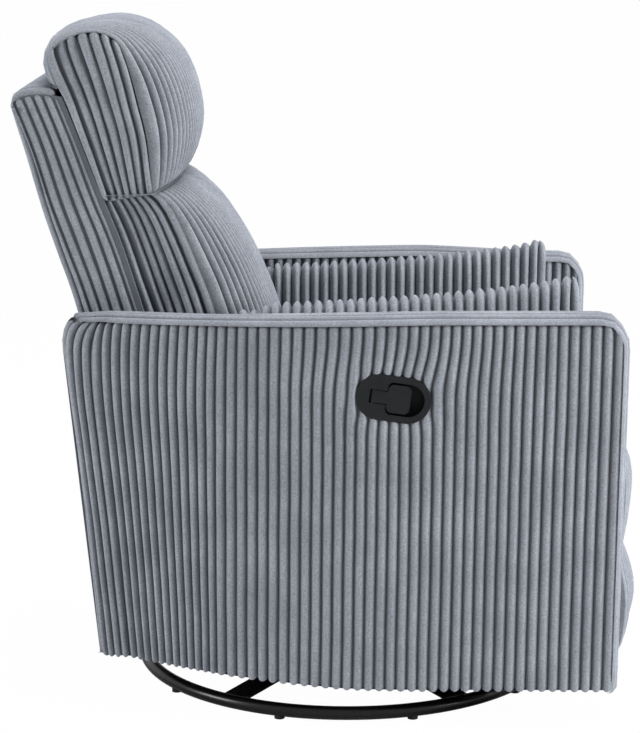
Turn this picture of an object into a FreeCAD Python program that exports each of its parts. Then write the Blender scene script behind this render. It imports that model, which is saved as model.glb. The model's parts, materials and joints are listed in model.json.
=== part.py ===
import FreeCAD, Part
import Sketcher
import math
import os
from types import SimpleNamespace

from FreeCAD import Vector

# Swivel glider recliner, in millimetres. The sitter faces -Y, +X is the sitter's left, +Z is up.
# Every piece is drawn about the swivel axis, and its Placement carries it to the origin of the part,
# which is the middle of the chair's footprint on the floor.

os.makedirs("parts", exist_ok=True)
doc = FreeCAD.newDocument("GliderRecliner")

SIZES = [
    # where the swivel axis stands
    ("swivel_y", -28.6, "swivel axis, in front of the middle of the footprint"),
    # general clearances
    ("fit_gap", 0.3, "gap between separate pieces that lie against each other"),
    ("running_play", 0.05, "radial play of a pin in its hole"),
    # base ring and spokes
    ("ring_radius", 329, "ring, to the middle of its tube"),
    ("ring_tube", 10.5, "radius of the ring's tube"),
    ("glide_lift", 3, "floor to the ring's tube"),
    ("glide_radius", 8, "round glide under the ring"),
    ("glide_count", 10, "glides round the ring"),
    ("glide_saddle", 4, "height of the glide that wraps the tube"),
    ("spoke_width", 40, "flat spoke, across"),
    ("spoke_thick", 5, "flat spoke, sheet"),
    ("spoke_angle", 33.5, "spoke, from the side axis, degrees"),
    ("hub_height", 57, "top of the spokes at the hub"),
    ("hub_flat", 112, "half length of a spoke's level middle"),
    ("spoke_foot", 16, "top of the spoke where it meets the ring"),
    ("spoke_knee", 218, "where the spoke starts to rise, from the axis"),
    ("spoke_knee_height", 22, "top of the spoke at that place"),
    # swivel bearing
    ("plate_half", 100, "half side of the square swivel plates"),
    ("plate_thick", 2.5, "swivel plate sheet"),
    ("race_inner", 50, "inner radius of the ball race"),
    ("race_outer", 70, "outer radius of the ball race"),
    ("race_height", 3.5, "height of the race on its plate"),
    ("ball_radius", 4, "bearing ball"),
    ("ball_ring", 60, "radius of the ring of balls"),
    ("ball_rise", 3, "ball centre above its race"),
    ("ball_count", 16, "balls in the cage"),
    ("cage_thick", 1.6, "ball cage sheet"),
    ("king_radius", 6, "king bolt shank"),
    ("king_head", 12, "king bolt head and nut radius"),
    ("king_head_height", 5, "king bolt head and nut height"),
    ("bolt_radius", 4, "plate and arm bolts"),
    ("bolt_head", 7, "plate and arm bolt heads"),
    ("bolt_head_height", 3, "height of those heads"),
    ("plate_bolt_ring", 85, "plate bolts from the axis"),
    # glider stand and hanging links
    ("crossbar_side", 20, "square cross bar"),
    ("crossbar_y", 85, "cross bar from the axis"),
    ("stand_x", 228.3, "inner face of a glider stand"),
    ("sheet", 3, "steel sheet of stands, links, rails and brackets"),
    ("stand_half", 125, "half depth of a glider stand at its foot"),
    ("stand_top", 246, "top of a glider stand"),
    ("link_y", 100, "glide pivots, fore and aft of the axis"),
    ("link_top", 232, "upper glide pivots above the floor"),
    ("link_length", 110, "glide link between pivots"),
    ("link_half", 12, "half width of a link"),
    ("link_x", 236.5, "inner face of a glide link"),
    ("rivet_radius", 4, "link rivets"),
    ("rivet_collar", 7, "collar of a link rivet"),
    # seat carriage
    ("rail_x", 246, "inner face of a mechanism side plate"),
    ("rail_front", 322, "front end of a side plate"),
    ("rail_foot", 104, "lower edge of a side plate"),
    ("rail_top", 385, "upper edge of a side plate"),
    ("rail_foot_back", 122, "rear end of the side plate's lower edge"),
    ("rail_back", 276, "rear end of a side plate"),
    ("seat_base", 345, "lower edge of the seat boards"),
    ("seat_board_height", 60, "height of the seat boards"),
    ("seat_board", 20, "thickness of front and rear boards"),
    ("seat_board_front", 360, "front of the seat boards"),
    ("seat_board_back", 195, "rear of the seat boards"),
    ("spring_wire", 2, "radius of a sinuous spring's wire"),
    ("spring_half", 16, "half length of a sinuous spring's cross runs"),
    ("spring_loops", 16, "half loops in a sinuous spring"),
    ("spring_pitch", 80, "sinuous springs, side by side"),
    ("spring_count", 5, "sinuous springs"),
    ("spring_end", 4, "end of a spring, in from the boards' outer faces"),
    ("seat_half", 279, "half width of the seat cushion"),
    ("seat_front", 426, "front of the seat cushion"),
    ("seat_back", 155, "rear of the seat cushion"),
    ("seat_thick", 64, "seat cushion below its crown"),
    ("seat_crown", 12, "crown of the seat cushion"),
    ("seat_edge", 16, "how far the seat cushion's foot stands in"),
    ("seat_roll", 22, "how far its upper edge stands in"),
    ("seat_slope", 80, "how far the crown's edge stands in"),
    ("seat_draw", 3, "how far the seat cushion's sides are drawn in"),
    # arms
    ("arm_outer", 365.5, "outer side of an arm, straight part"),
    ("arm_inner", 285, "inner side of an arm, straight part"),
    ("arm_front", 407, "front of an arm"),
    ("arm_foot_front", 400, "front of an arm at its foot"),
    ("arm_corner", 14, "front corner radius of an arm"),
    ("arm_rear_thick_top", 46.9, "thickness of an arm at its rear corner, top"),
    ("arm_rear_thick_foot", 29.5, "thickness of an arm at its rear corner, foot"),
    ("arm_rear_corner", 40, "run of an arm's rear corner"),
    ("arm_curve_start_top", 50, "start of the curve in front of the axis, top"),
    ("arm_curve_start_foot", 100, "start of the curve in front of the axis, foot"),
    ("arm_rear_top", 434, "rear of an arm, top"),
    ("arm_rear_foot", 373, "rear of an arm, foot"),
    ("arm_rear_inner", 235, "inner side of an arm at its rear"),
    ("arm_jog_start", 200, "where the inner side turns in"),
    ("arm_jog_end", 350, "where the inner side runs straight again"),
    ("arm_foot", 54, "arm's lower edge at the front"),
    ("arm_foot_rear", 77, "arm's lower edge at the rear"),
    ("arm_top_front", 630, "top of an arm near its front"),
    ("arm_top_mid", 628, "top of an arm at the axis"),
    ("arm_top_rear", 618, "top of an arm at its rear"),
    ("arm_wall_inner", 13.5, "arm padding on the inner side"),
    ("arm_wall_outer", 18, "arm padding on the outer side"),
    ("arm_round", 62, "run of the round at an arm's upper ends"),
    ("arm_edge", 16, "round of an arm's outer upper edge"),
    ("arm_wall_end", 20, "arm padding at front and foot"),
    ("arm_wall_top", 30, "arm padding below its top at the rear"),
    ("arm_hollow_back", 30, "rear end of the hollow in an arm"),
    ("arm_board", 38, "width of the arm frame's boards"),
    ("arm_bolt_front", 260, "front arm bolt, in front of the axis"),
    ("arm_bolt_back", 10, "rear arm bolt, behind the axis"),
    # arm pads
    ("pad_inner", 215, "inner foot of an arm pad"),
    ("pad_ridge", 246, "ridge of an arm pad"),
    ("pad_lift", 1.4, "lower edge of an arm pad above the seat's crown, seat side"),
    ("pad_fall", 10.5, "how far that edge falls towards the arm"),
    ("pad_top_rear", 629, "ridge height at the pad's rear"),
    ("pad_top_mid", 640, "ridge height at the pad's middle"),
    ("pad_top_front", 668, "ridge height at the pad's front corner"),
    ("pad_rear", 140, "rear end of an arm pad"),
    ("pad_front", 346, "front end of an arm pad"),
    ("pad_middle", 80, "where a pad has its middle height, in front of the axis"),
    ("pad_corner", 60, "run of a pad's raised front corner"),
    ("pad_end", 16, "run of a pad's rounded ends"),
    ("pad_flat", 8, "half width of a pad's ridge"),
    ("pad_shoulder", 30, "height of a pad's rounded outer edge"),
    ("pad_belly", 4, "how far a pad's face is hollowed towards the ridge"),
    # rear skirt
    ("skirt_top", 320, "top of the rear skirt"),
    ("skirt_thick", 24, "thickness of the rear skirt"),
    ("skirt_inset", 6, "rear skirt in front of the arms' rear ends"),
    ("skirt_lean", 32, "how far the rear skirt leans back"),
    # handle
    ("bezel_y", 68, "middle of the handle bezel, in front of the axis"),
    ("bezel_z", 510, "middle of the handle bezel"),
    ("bezel_length", 111, "oval bezel, long way"),
    ("bezel_height", 69, "oval bezel, short way"),
    ("bezel_tilt", 8, "front end lower, degrees"),
    ("bezel_lip", 3.5, "how far the bezel's face stands out round its cup"),
    ("bezel_sink", 2, "bezel's face below the arm's side"),
    ("bezel_sheet", 2, "bezel face and wall"),
    ("bezel_depth", 28, "depth of the bezel's cup"),
    ("window_reach", 46, "front end of the bezel's window, in front of the middle"),
    ("window_height", 49, "height of the bezel's window"),
    ("lever_play", 1.2, "gap between lever and bezel face"),
    ("lever_pivot", 30, "lever pivot behind the bezel's middle"),
    ("lever_neck", 18.5, "height of the lever's neck"),
    ("lever_neck_end", 9, "end of the neck behind the bezel's middle"),
    ("lever_paddle_end", 25, "end of the paddle in front of the middle"),
    ("lever_paddle", 42, "height of the paddle"),
    ("lever_corner", 8, "corner radius of paddle and window"),
    ("lever_thick", 5, "lever plate"),
    ("lever_sink", 2.5, "lever's face below the arm's side"),
    ("lever_barrel", 4.2, "lever's hinge barrel radius"),
    ("lever_pin", 2, "lever pin radius"),
    # release cable
    ("cable_radius", 2.5, "release cable"),
    ("cable_in", 27.5, "cable's fall inside the arm, from its outer side"),
    ("cable_low", 230, "cable's height where it leaves the arm"),
    ("latch_width", 25, "latch box, out from the side plate"),
    ("latch_half", 15, "half depth and height of the latch box"),
    # back
    ("back_half", 225, "half width of the back slab"),
    ("back_pivot_y", 250, "recline pivot behind the axis"),
    ("back_pivot_z", 330, "recline pivot above the floor"),
    ("back_pivot_bolt", 6, "recline pivot bolt"),
    ("back_pivot_collar", 10, "recline pivot collar and head"),
    ("slab_foot", 330, "lower edge of the back slab"),
    ("slab_top", 949, "top of the back slab"),
    ("slab_rear_foot", 338.5, "rear face of the slab at its foot"),
    ("slab_rear_top", 516, "rear face of the slab near its top"),
    ("slab_front_foot", 208, "front face of the slab at its foot"),
    ("slab_front_top", 426, "front face of the slab at its top"),
    ("slab_shoulder", 38, "depth of the slab's rounded rear top"),
    ("slab_crest", 4, "fall of the slab's top towards that round"),
    ("slab_wall", 18, "padding round the back frame"),
    ("back_board", 40, "width of the back frame's boards"),
    ("lumbar_half", 213, "half width of the lumbar cushion"),
    ("lumbar_foot", 470, "lower edge of the lumbar cushion"),
    ("lumbar_depth", 176, "lumbar cushion's crown, in front of the slab"),
    ("lumbar_gap", 5, "between lumbar cushion and headrest at the slab"),
    ("headrest_half", 224, "half width of the headrest cushion"),
    ("head_drop", 161, "headrest below the slab's top"),
    ("head_rise", 98, "headrest above the slab's top"),
    ("head_depth", 198, "headrest's crown in front of the slab's top edge"),
    ("head_over", 44, "headrest's crown behind that edge"),
    ("crown_half", 110, "half width of a cushion's full crown"),
    ("cushion_edge", 30, "run over which a cushion's side rises"),
    # footrest
    ("scissor_y", 300, "upper scissor pivot, in front of the axis"),
    ("scissor_z", 318, "upper scissor pivot above the floor"),
    ("scissor_length", 190, "scissor link between end pivots"),
    ("scissor_closed", 80, "scissor link below level when closed, degrees"),
    ("scissor_open", 42, "scissor link below level when open, degrees"),
    ("scissor_half", 11, "half width of a scissor link"),
    ("long_x", 240.5, "inner face of a long scissor link"),
    ("cross_x", 236, "inner face of a cross scissor link"),
    ("footrest_bracket_x", 231.5, "inner face of a footrest bracket"),
    ("tube_radius", 8, "torque tube"),
    ("tube_along", 30, "torque tube along the long link"),
    ("footrest_half", 275, "half width of the footrest pad"),
    ("footrest_board_half", 262, "half width of the footrest board"),
    ("footrest_board", 14.7, "footrest board"),
    ("footrest_set", 16, "footrest board in front of its pivot"),
    ("footrest_board_low", 20, "footrest board's foot above the pad's"),
    ("footrest_board_high", 12, "footrest board's top below the pad's"),
    ("footrest_foot", 86, "lower edge of the footrest pad"),
    ("footrest_top", 400, "upper edge of the footrest pad"),
    ("footrest_front", 455, "front of the footrest's lower roll"),
    ("footrest_upper_front", 446, "front of the footrest's upper roll"),
    ("footrest_pinch", 433, "front of the valley between the rolls"),
    ("footrest_pinch_z", 250, "height of that valley"),
    ("footrest_lower_round", 26, "round at the lower roll's foot"),
    ("footrest_upper_round", 30, "round at the upper roll's top"),
]


class Size:
    """A length that knows its value and the expression that gives it."""

    def __init__(self, value, text):
        self.value = float(value)
        self.text = text

    def __add__(self, other):
        other = as_size(other)
        return Size(self.value + other.value, f"({self.text} + {other.text})")

    def __sub__(self, other):
        other = as_size(other)
        return Size(self.value - other.value, f"({self.text} - {other.text})")

    def __mul__(self, other):
        other = as_size(other)
        return Size(self.value * other.value, f"({self.text} * {other.text})")

    def __truediv__(self, other):
        other = as_size(other)
        return Size(self.value / other.value, f"({self.text} / {other.text})")

    def __radd__(self, other):
        return as_size(other) + self

    def __rsub__(self, other):
        return as_size(other) - self

    def __rmul__(self, other):
        return as_size(other) * self

    def __neg__(self):
        return Size(-self.value, f"(0 - {self.text})")

    def __float__(self):
        return self.value


def as_size(value):
    """A plain number as a Size."""
    return value if isinstance(value, Size) else Size(value, repr(float(value)))


def cos_of(angle):
    """Cosine of an angle in degrees."""
    return Size(math.cos(math.radians(angle.value)), f"cos({angle.text})")


def sin_of(angle):
    """Sine of an angle in degrees."""
    return Size(math.sin(math.radians(angle.value)), f"sin({angle.text})")


def make_sheet():
    """Write the driving dimensions into a spreadsheet and give them back as sizes."""
    sheet = doc.addObject("Spreadsheet::Sheet", "Dims")
    sizes = SimpleNamespace()
    for row, (alias, value, meaning) in enumerate(SIZES, start=1):
        sheet.set(f"A{row}", alias)
        sheet.set(f"B{row}", str(value))
        sheet.setAlias(f"B{row}", alias)
        sheet.set(f"C{row}", meaning)
        setattr(sizes, alias, Size(value, f"Dims.{alias}"))
    doc.recompute()
    return sizes


d = make_sheet()
nodes = []
SIDES = (-1, 1)
# how far a cutting tool passes what it cuts
OVER = 5


# Helpers that make objects of the document


def bind(obj, prop, size):
    """Set a property from a size, by expression."""
    obj.setExpression(prop, as_size(size).text)


def place(obj, x=0, y=0, z=0):
    """Bind an object's position."""
    for letter, size in zip("xyz", (x, y, z)):
        bind(obj, f"Placement.Base.{letter}", size)


def node(obj, label):
    """Register a finished sub-part; it stands on the swivel axis of the part."""
    obj.Label = label
    nodes.append(obj)
    return obj


def on_axis(obj, label):
    """Register a sub-part whose own Placement is free, moved to the swivel axis."""
    place(obj, 0, d.swivel_y, 0)
    return node(obj, label)


def box(name, low, high):
    """Box between two corners, each given as three sizes."""
    obj = doc.addObject("Part::Box", name)
    for prop, a, b in zip(("Length", "Width", "Height"), low, high):
        bind(obj, prop, as_size(b) - a)
    place(obj, *low)
    return obj


def rod(name, start, length, radius, axis="Z"):
    """Cylinder from a start point along +X or +Z."""
    obj = doc.addObject("Part::Cylinder", name)
    bind(obj, "Radius", radius)
    bind(obj, "Height", length)
    if axis == "X":
        obj.Placement = FreeCAD.Placement(Vector(), FreeCAD.Rotation(Vector(0, 1, 0), 90))
    place(obj, *start)
    return obj


def fuse(name, parts):
    """Union of several objects."""
    obj = doc.addObject("Part::MultiFuse", name)
    obj.Shapes = parts
    return obj


def cut(name, base, tool):
    """Base without tool."""
    obj = doc.addObject("Part::Cut", name)
    obj.Base = base
    obj.Tool = tool
    return obj


def group(name, parts):
    """Several separate solids as one object."""
    obj = doc.addObject("Part::Compound", name)
    obj.Links = parts
    return obj


def shaped(name, shape):
    """Object whose shape is made by code from the sheet's sizes."""
    obj = doc.addObject("Part::Feature", name)
    obj.Shape = shape
    return obj


def pin_point(sketch, geometry, position, x, y):
    """Fix a sketch point at x, y from the sketch origin."""
    for kind, size in (("DistanceX", x), ("DistanceY", y)):
        size = as_size(size)
        index = sketch.addConstraint(Sketcher.Constraint(kind, -1, 1, geometry, position, size.value))
        sketch.setExpression(f"Constraints[{index}]", size.text)


def add_polygon(sketch, points):
    """Closed outline through points, each fixed by its two sizes."""
    first = sketch.GeometryCount
    count = len(points)
    corners = [Vector(float(as_size(x)), float(as_size(y)), 0) for x, y in points]
    for index in range(count):
        sketch.addGeometry(Part.LineSegment(corners[index], corners[(index + 1) % count]), False)
    for index in range(count):
        following = first + (index + 1) % count
        sketch.addConstraint(Sketcher.Constraint("Coincident", first + index, 2, following, 1))
    for index, (x, y) in enumerate(points):
        pin_point(sketch, first + index, 1, x, y)


def add_circle(sketch, x, y, radius):
    """Circle fixed by its centre and radius."""
    centre = Vector(float(as_size(x)), float(as_size(y)), 0)
    circle = sketch.addGeometry(Part.Circle(centre, Vector(0, 0, 1), float(as_size(radius))), False)
    pin_point(sketch, circle, 3, x, y)
    index = sketch.addConstraint(Sketcher.Constraint("Radius", circle, float(as_size(radius))))
    sketch.setExpression(f"Constraints[{index}]", as_size(radius).text)


def add_link_outline(sketch, length, half):
    """Round-ended bar that hangs down from the sketch origin."""
    up = Vector(0, 0, 1)
    reach = float(as_size(length))
    wide = float(as_size(half))
    top = Part.ArcOfCircle(Part.Circle(Vector(0, 0, 0), up, wide), 0, math.pi)
    foot = Part.ArcOfCircle(Part.Circle(Vector(0, -reach, 0), up, wide), math.pi, 2 * math.pi)
    left = Part.LineSegment(Vector(-wide, 0, 0), Vector(-wide, -reach, 0))
    right = Part.LineSegment(Vector(wide, -reach, 0), Vector(wide, 0, 0))
    for shape in (top, left, foot, right):
        sketch.addGeometry(shape, False)
    for one, other in ((0, 1), (1, 2), (2, 3), (3, 0)):
        sketch.addConstraint(Sketcher.Constraint("Tangent", one, 2, other, 1))
    sketch.addConstraint(Sketcher.Constraint("Equal", 0, 2))
    index = sketch.addConstraint(Sketcher.Constraint("Radius", 0, wide))
    sketch.setExpression(f"Constraints[{index}]", as_size(half).text)
    pin_point(sketch, 0, 3, 0, 0)
    pin_point(sketch, 2, 3, 0, -as_size(length))


def new_sketch(body, role, name):
    """Sketch on one of the body's own origin planes."""
    sketch = body.newObject("Sketcher::SketchObject", name)
    plane = [item for item in body.Origin.OriginFeatures if item.Role == role][0]
    sketch.AttachmentSupport = [(plane, "")]
    sketch.MapMode = "FlatFace"
    return sketch


def pad(body, sketch, length, name):
    """Pad a sketch by a length."""
    feature = body.newObject("PartDesign::Pad", name)
    feature.Profile = sketch
    bind(feature, "Length", length)
    body.Tip = feature
    return feature


def side_plate(name, side, inner_x, outline, holes):
    """Upright sheet plate on one side, drawn in Y and Z, with round holes and polygon windows."""
    body = doc.addObject("PartDesign::Body", name)
    sketch = new_sketch(body, "YZ_Plane", f"{name}_outline")
    add_polygon(sketch, outline)
    for hole in holes:
        if len(hole) == 3:
            add_circle(sketch, *hole)
        else:
            add_polygon(sketch, hole)
    pad(body, sketch, d.sheet, f"{name}_pad")
    start = as_size(inner_x) if side > 0 else -as_size(inner_x) - d.sheet
    place(body, start, 0, 0)
    return body


def link(name, side, inner_x, pivot, length, half, holes, lean, way=-1):
    """Round-ended link that hangs from a pivot; it leans forward, or backward where way is 1."""
    body = doc.addObject("PartDesign::Body", name)
    sketch = new_sketch(body, "YZ_Plane", f"{name}_outline")
    add_link_outline(sketch, length, half)
    for along in holes:
        add_circle(sketch, 0, -as_size(along), d.rivet_radius + d.running_play)
    pad(body, sketch, d.sheet, f"{name}_pad")
    body.Placement = FreeCAD.Placement(Vector(), FreeCAD.Rotation(Vector(way, 0, 0), 1))
    bind(body, "Placement.Rotation.Angle", lean)
    start = as_size(inner_x) if side > 0 else -as_size(inner_x) - d.sheet
    place(body, start, pivot[0], pivot[1])
    return body


def side_rod(name, side, inner_x, outer_x, y, z, radius):
    """Cylinder along X on one side, between two distances from the middle."""
    inner = as_size(inner_x)
    outer = as_size(outer_x)
    start = inner if side > 0 else -outer
    return rod(name, (start, y, z), outer - inner, radius, "X")


def arc(start, middle, end):
    """Arc edge through three points."""
    return Part.Arc(start, middle, end).toShape()


def line(start, end):
    """Straight edge."""
    return Part.LineSegment(start, end).toShape()


def loft(wires):
    """Ruled solid through wires."""
    return Part.makeLoft(wires, True, True)


# Base: ring, spokes, glides and the lower half of the swivel


def make_base():
    """Ring base that stands on the floor, with the lower half of the ball bearing."""
    tube_z = d.glide_lift + d.ring_tube
    ring = doc.addObject("Part::Torus", "ring_tube")
    bind(ring, "Radius1", d.ring_radius)
    bind(ring, "Radius2", d.ring_tube)
    place(ring, 0, d.swivel_y, tube_z)
    node(ring, "base_ring")

    clear = doc.addObject("Part::Torus", "ring_clearance")
    bind(clear, "Radius1", d.ring_radius)
    bind(clear, "Radius2", d.ring_tube)
    place(clear, 0, 0, tube_z)

    glides = []
    count = int(d.glide_count.value)
    for index in range(count):
        turn = as_size(180.0 / count * (2 * index + 1))
        x = d.ring_radius * cos_of(turn)
        y = d.ring_radius * sin_of(turn)
        glides.append(rod(f"glide_{index}", (x, y, 0), d.glide_lift + d.glide_saddle, d.glide_radius))
    on_axis(cut("glides_cut", group("glides", glides), clear), "ring_glides")

    bars = []
    for name, turn in (("one", 1), ("two", -1)):
        bars.append(make_spoke(f"spoke_{name}", turn))
    holes = [rod("king_hole", (0, 0, 0), d.hub_height * 2, d.king_radius)]
    for index, (x, y) in enumerate(plate_bolt_places()):
        holes.append(rod(f"spoke_hole_{index}", (x, y, 0), d.hub_height * 2, d.bolt_radius))
    tools = fuse("spoke_tools", [*holes, clear])
    on_axis(cut("spokes_cut", fuse("spokes_joined", bars), tools), "base_spokes")

    plate_z = d.hub_height + d.fit_gap
    race_top = plate_z + d.plate_thick + d.race_height
    on_axis(make_swivel_plate("lower_plate", plate_z, 1), "lower_swivel_plate")
    make_balls(race_top + d.ball_rise)
    make_king_bolt()


def make_spoke(name, turn):
    """Flat bar from rim to rim, bent up to the hub."""
    body = doc.addObject("PartDesign::Body", name)
    sketch = new_sketch(body, "XZ_Plane", f"{name}_outline")
    reach = d.ring_radius
    under_hub = d.hub_height - d.spoke_thick
    under_knee = d.spoke_knee_height - d.spoke_thick
    under_foot = d.spoke_foot - d.spoke_thick
    add_polygon(sketch, [
        (-reach, under_foot),
        (-d.spoke_knee, under_knee),
        (-d.hub_flat, under_hub),
        (d.hub_flat, under_hub),
        (d.spoke_knee, under_knee),
        (reach, under_foot),
        (reach, d.spoke_foot),
        (d.spoke_knee, d.spoke_knee_height),
        (d.hub_flat, d.hub_height),
        (-d.hub_flat, d.hub_height),
        (-d.spoke_knee, d.spoke_knee_height),
        (-reach, d.spoke_foot),
    ])
    feature = pad(body, sketch, d.spoke_width, f"{name}_pad")
    feature.Midplane = True
    body.Placement = FreeCAD.Placement(Vector(), FreeCAD.Rotation(Vector(0, 0, turn), 1))
    bind(body, "Placement.Rotation.Angle", d.spoke_angle)
    return body


def plate_bolt_places():
    """The four plate bolts, one on each spoke."""
    across = d.plate_bolt_ring * cos_of(d.spoke_angle)
    along = d.plate_bolt_ring * sin_of(d.spoke_angle)
    return [(x * across, y * along) for x in SIDES for y in SIDES]


def make_swivel_plate(name, plate_z, up):
    """Square plate with a raised, grooved ball race; up is 1 for the lower plate and -1 for the upper."""
    body = doc.addObject("PartDesign::Body", name)
    outline = new_sketch(body, "XY_Plane", f"{name}_outline")
    half = d.plate_half
    add_polygon(outline, [(-half, -half), (half, -half), (half, half), (-half, half)])
    add_circle(outline, 0, 0, d.king_radius + d.running_play)
    for x, y in plate_bolt_places():
        if up > 0:
            add_circle(outline, x, y, d.bolt_radius + d.running_play)
    pad(body, outline, d.plate_thick, f"{name}_sheet")
    race = new_sketch(body, "XZ_Plane", f"{name}_race")
    low = d.plate_thick if up > 0 else -d.race_height
    high = d.plate_thick + d.race_height if up > 0 else as_size(0)
    add_polygon(race, [
        (d.race_inner, low),
        (d.race_outer, low),
        (d.race_outer, high),
        (d.race_inner, high),
    ])
    ring = body.newObject("PartDesign::Revolution", f"{name}_ring")
    ring.Profile = race
    ring.ReferenceAxis = (race, ["V_Axis"])
    ring.Angle = 360
    groove_sketch = new_sketch(body, "XZ_Plane", f"{name}_groove")
    centre = high + d.ball_rise if up > 0 else low - d.ball_rise
    add_circle(groove_sketch, d.ball_ring, centre, d.ball_radius + d.running_play)
    groove = body.newObject("PartDesign::Groove", f"{name}_groove_cut")
    groove.Profile = groove_sketch
    groove.ReferenceAxis = (groove_sketch, ["V_Axis"])
    groove.Angle = 360
    body.Tip = groove
    place(body, 0, 0, plate_z)
    return group(f"{name}_placed", [body])


def make_balls(centre_z):
    """Balls of the swivel bearing in their flat cage."""
    balls = []
    pockets = []
    count = int(d.ball_count.value)
    for index in range(count):
        turn = as_size(360.0 / count * index)
        x = d.ball_ring * cos_of(turn)
        y = d.ball_ring * sin_of(turn)
        ball = doc.addObject("Part::Sphere", f"ball_{index}")
        bind(ball, "Radius", d.ball_radius)
        place(ball, x, y, centre_z)
        balls.append(ball)
        start = (x, y, centre_z - d.cage_thick)
        pockets.append(rod(f"pocket_{index}", start, d.cage_thick * 2, d.ball_radius + d.running_play))
    on_axis(group("balls", balls), "bearing_balls")
    cage_z = centre_z - d.cage_thick / 2
    blank = rod("cage_blank", (0, 0, cage_z), d.cage_thick, d.race_outer - d.running_play)
    bore = rod("cage_bore", (0, 0, cage_z - OVER), d.cage_thick + 2 * OVER, d.race_inner)
    on_axis(cut("cage_cut", blank, fuse("cage_tools", [bore, *pockets])), "ball_cage")


def make_king_bolt():
    """King bolt through both plates, and the bolts that hold the lower plate to the spokes."""
    foot = d.hub_height - d.spoke_thick
    lower_top = d.hub_height + d.fit_gap + d.plate_thick
    upper_top = upper_plate_z() + d.plate_thick
    shank_top = upper_top + d.fit_gap + d.king_head_height
    head = rod("king_head", (0, 0, foot - d.king_head_height), d.king_head_height, d.king_head)
    shank = rod("king_shank", (0, 0, foot - d.king_head_height), shank_top - foot + d.king_head_height,
                d.king_radius)
    nut = rod("king_nut", (0, 0, upper_top + d.fit_gap), d.king_head_height, d.king_head)
    on_axis(fuse("king", [head, shank, nut]), "king_bolt")
    bolts = []
    for index, (x, y) in enumerate(plate_bolt_places()):
        low = foot - d.bolt_head_height
        bolt_head = rod(f"plate_bolt_head_{index}", (x, y, low), d.bolt_head_height, d.bolt_head)
        nut = rod(f"plate_bolt_nut_{index}", (x, y, lower_top), d.bolt_head_height, d.bolt_head)
        length = lower_top + d.bolt_head_height - low
        stem = rod(f"plate_bolt_stem_{index}", (x, y, low), length, d.bolt_radius)
        bolts.append(fuse(f"plate_bolt_{index}", [bolt_head, stem, nut]))
    on_axis(group("plate_bolt_set", bolts), "plate_bolts")


def upper_plate_z():
    """Underside of the upper swivel plate."""
    ball_z = d.hub_height + d.fit_gap + d.plate_thick + d.race_height + d.ball_rise
    return ball_z + d.ball_rise + d.race_height


# Swivel frame: upper plate, cross bars, glider stands


def crossbar_z():
    """Underside of the cross bars on the upper plate."""
    return upper_plate_z() + d.plate_thick + d.fit_gap


def make_swivel_frame():
    """What turns on the base: plate, two bars and the two stands that the seat hangs from."""
    on_axis(make_swivel_plate("upper_plate", upper_plate_z(), -1), "upper_swivel_plate")
    bars = []
    low = crossbar_z()
    for side in SIDES:
        y = side * d.crossbar_y
        corner = (-d.stand_x + d.fit_gap, y - d.crossbar_side / 2, low)
        far = (d.stand_x - d.fit_gap, y + d.crossbar_side / 2, low + d.crossbar_side)
        bars.append(box(f"crossbar_{side + 1}", corner, far))
    on_axis(group("crossbars", bars), "glider_crossbars")
    for side, word in ((-1, "right"), (1, "left")):
        half = d.stand_half
        neck = d.link_y + d.link_half
        outline = [(-half, low), (half, low), (neck, d.stand_top), (-neck, d.stand_top)]
        hole = d.rivet_radius + d.running_play
        holes = [(y * d.link_y, d.link_top, hole) for y in SIDES]
        plate = side_plate(f"stand_{word}", side, d.stand_x, outline, holes)
        on_axis(group(f"stand_{word}_set", [plate]), f"{word}_glider_stand")
    on_axis(group("upper_rivets", link_rivets("upper", d.link_top, d.stand_x, d.link_x)),
            "upper_glide_rivets")


def link_rivets(name, z, first_x, last_x):
    """Four collared rivets that carry the glide links; first_x is the plate that holds them."""
    rivets = []
    for side in SIDES:
        for end in SIDES:
            y = end * d.link_y
            tag = f"{name}_{side + 1}_{end + 1}"
            if first_x.value < last_x.value:
                shank = (first_x, last_x + d.sheet + d.sheet / 3)
                collar = (first_x + d.sheet + d.fit_gap, last_x - d.fit_gap)
            else:
                shank = (last_x - d.sheet / 3, first_x + d.sheet)
                collar = (last_x + d.sheet + d.fit_gap, first_x - d.fit_gap)
            stem = side_rod(f"{tag}_stem", side, *shank, y, z, d.rivet_radius)
            ring = side_rod(f"{tag}_collar", side, *collar, y, z, d.rivet_collar)
            rivets.append(fuse(f"{tag}_rivet", [stem, ring]))
    return rivets


def make_links():
    """Four hanging glide links."""
    for side, word in ((-1, "right"), (1, "left")):
        for end, place_word in ((-1, "front"), (1, "rear")):
            pivot = (end * d.link_y, d.link_top)
            holes = (0, d.link_length)
            name = f"{place_word}_{word}"
            bar = link(f"glide_{name}", side, d.link_x, pivot, d.link_length, d.link_half, holes, 0)
            on_axis(group(f"glide_{name}_set", [bar]), f"{name}_glide_link")


# Seat carriage


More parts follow.
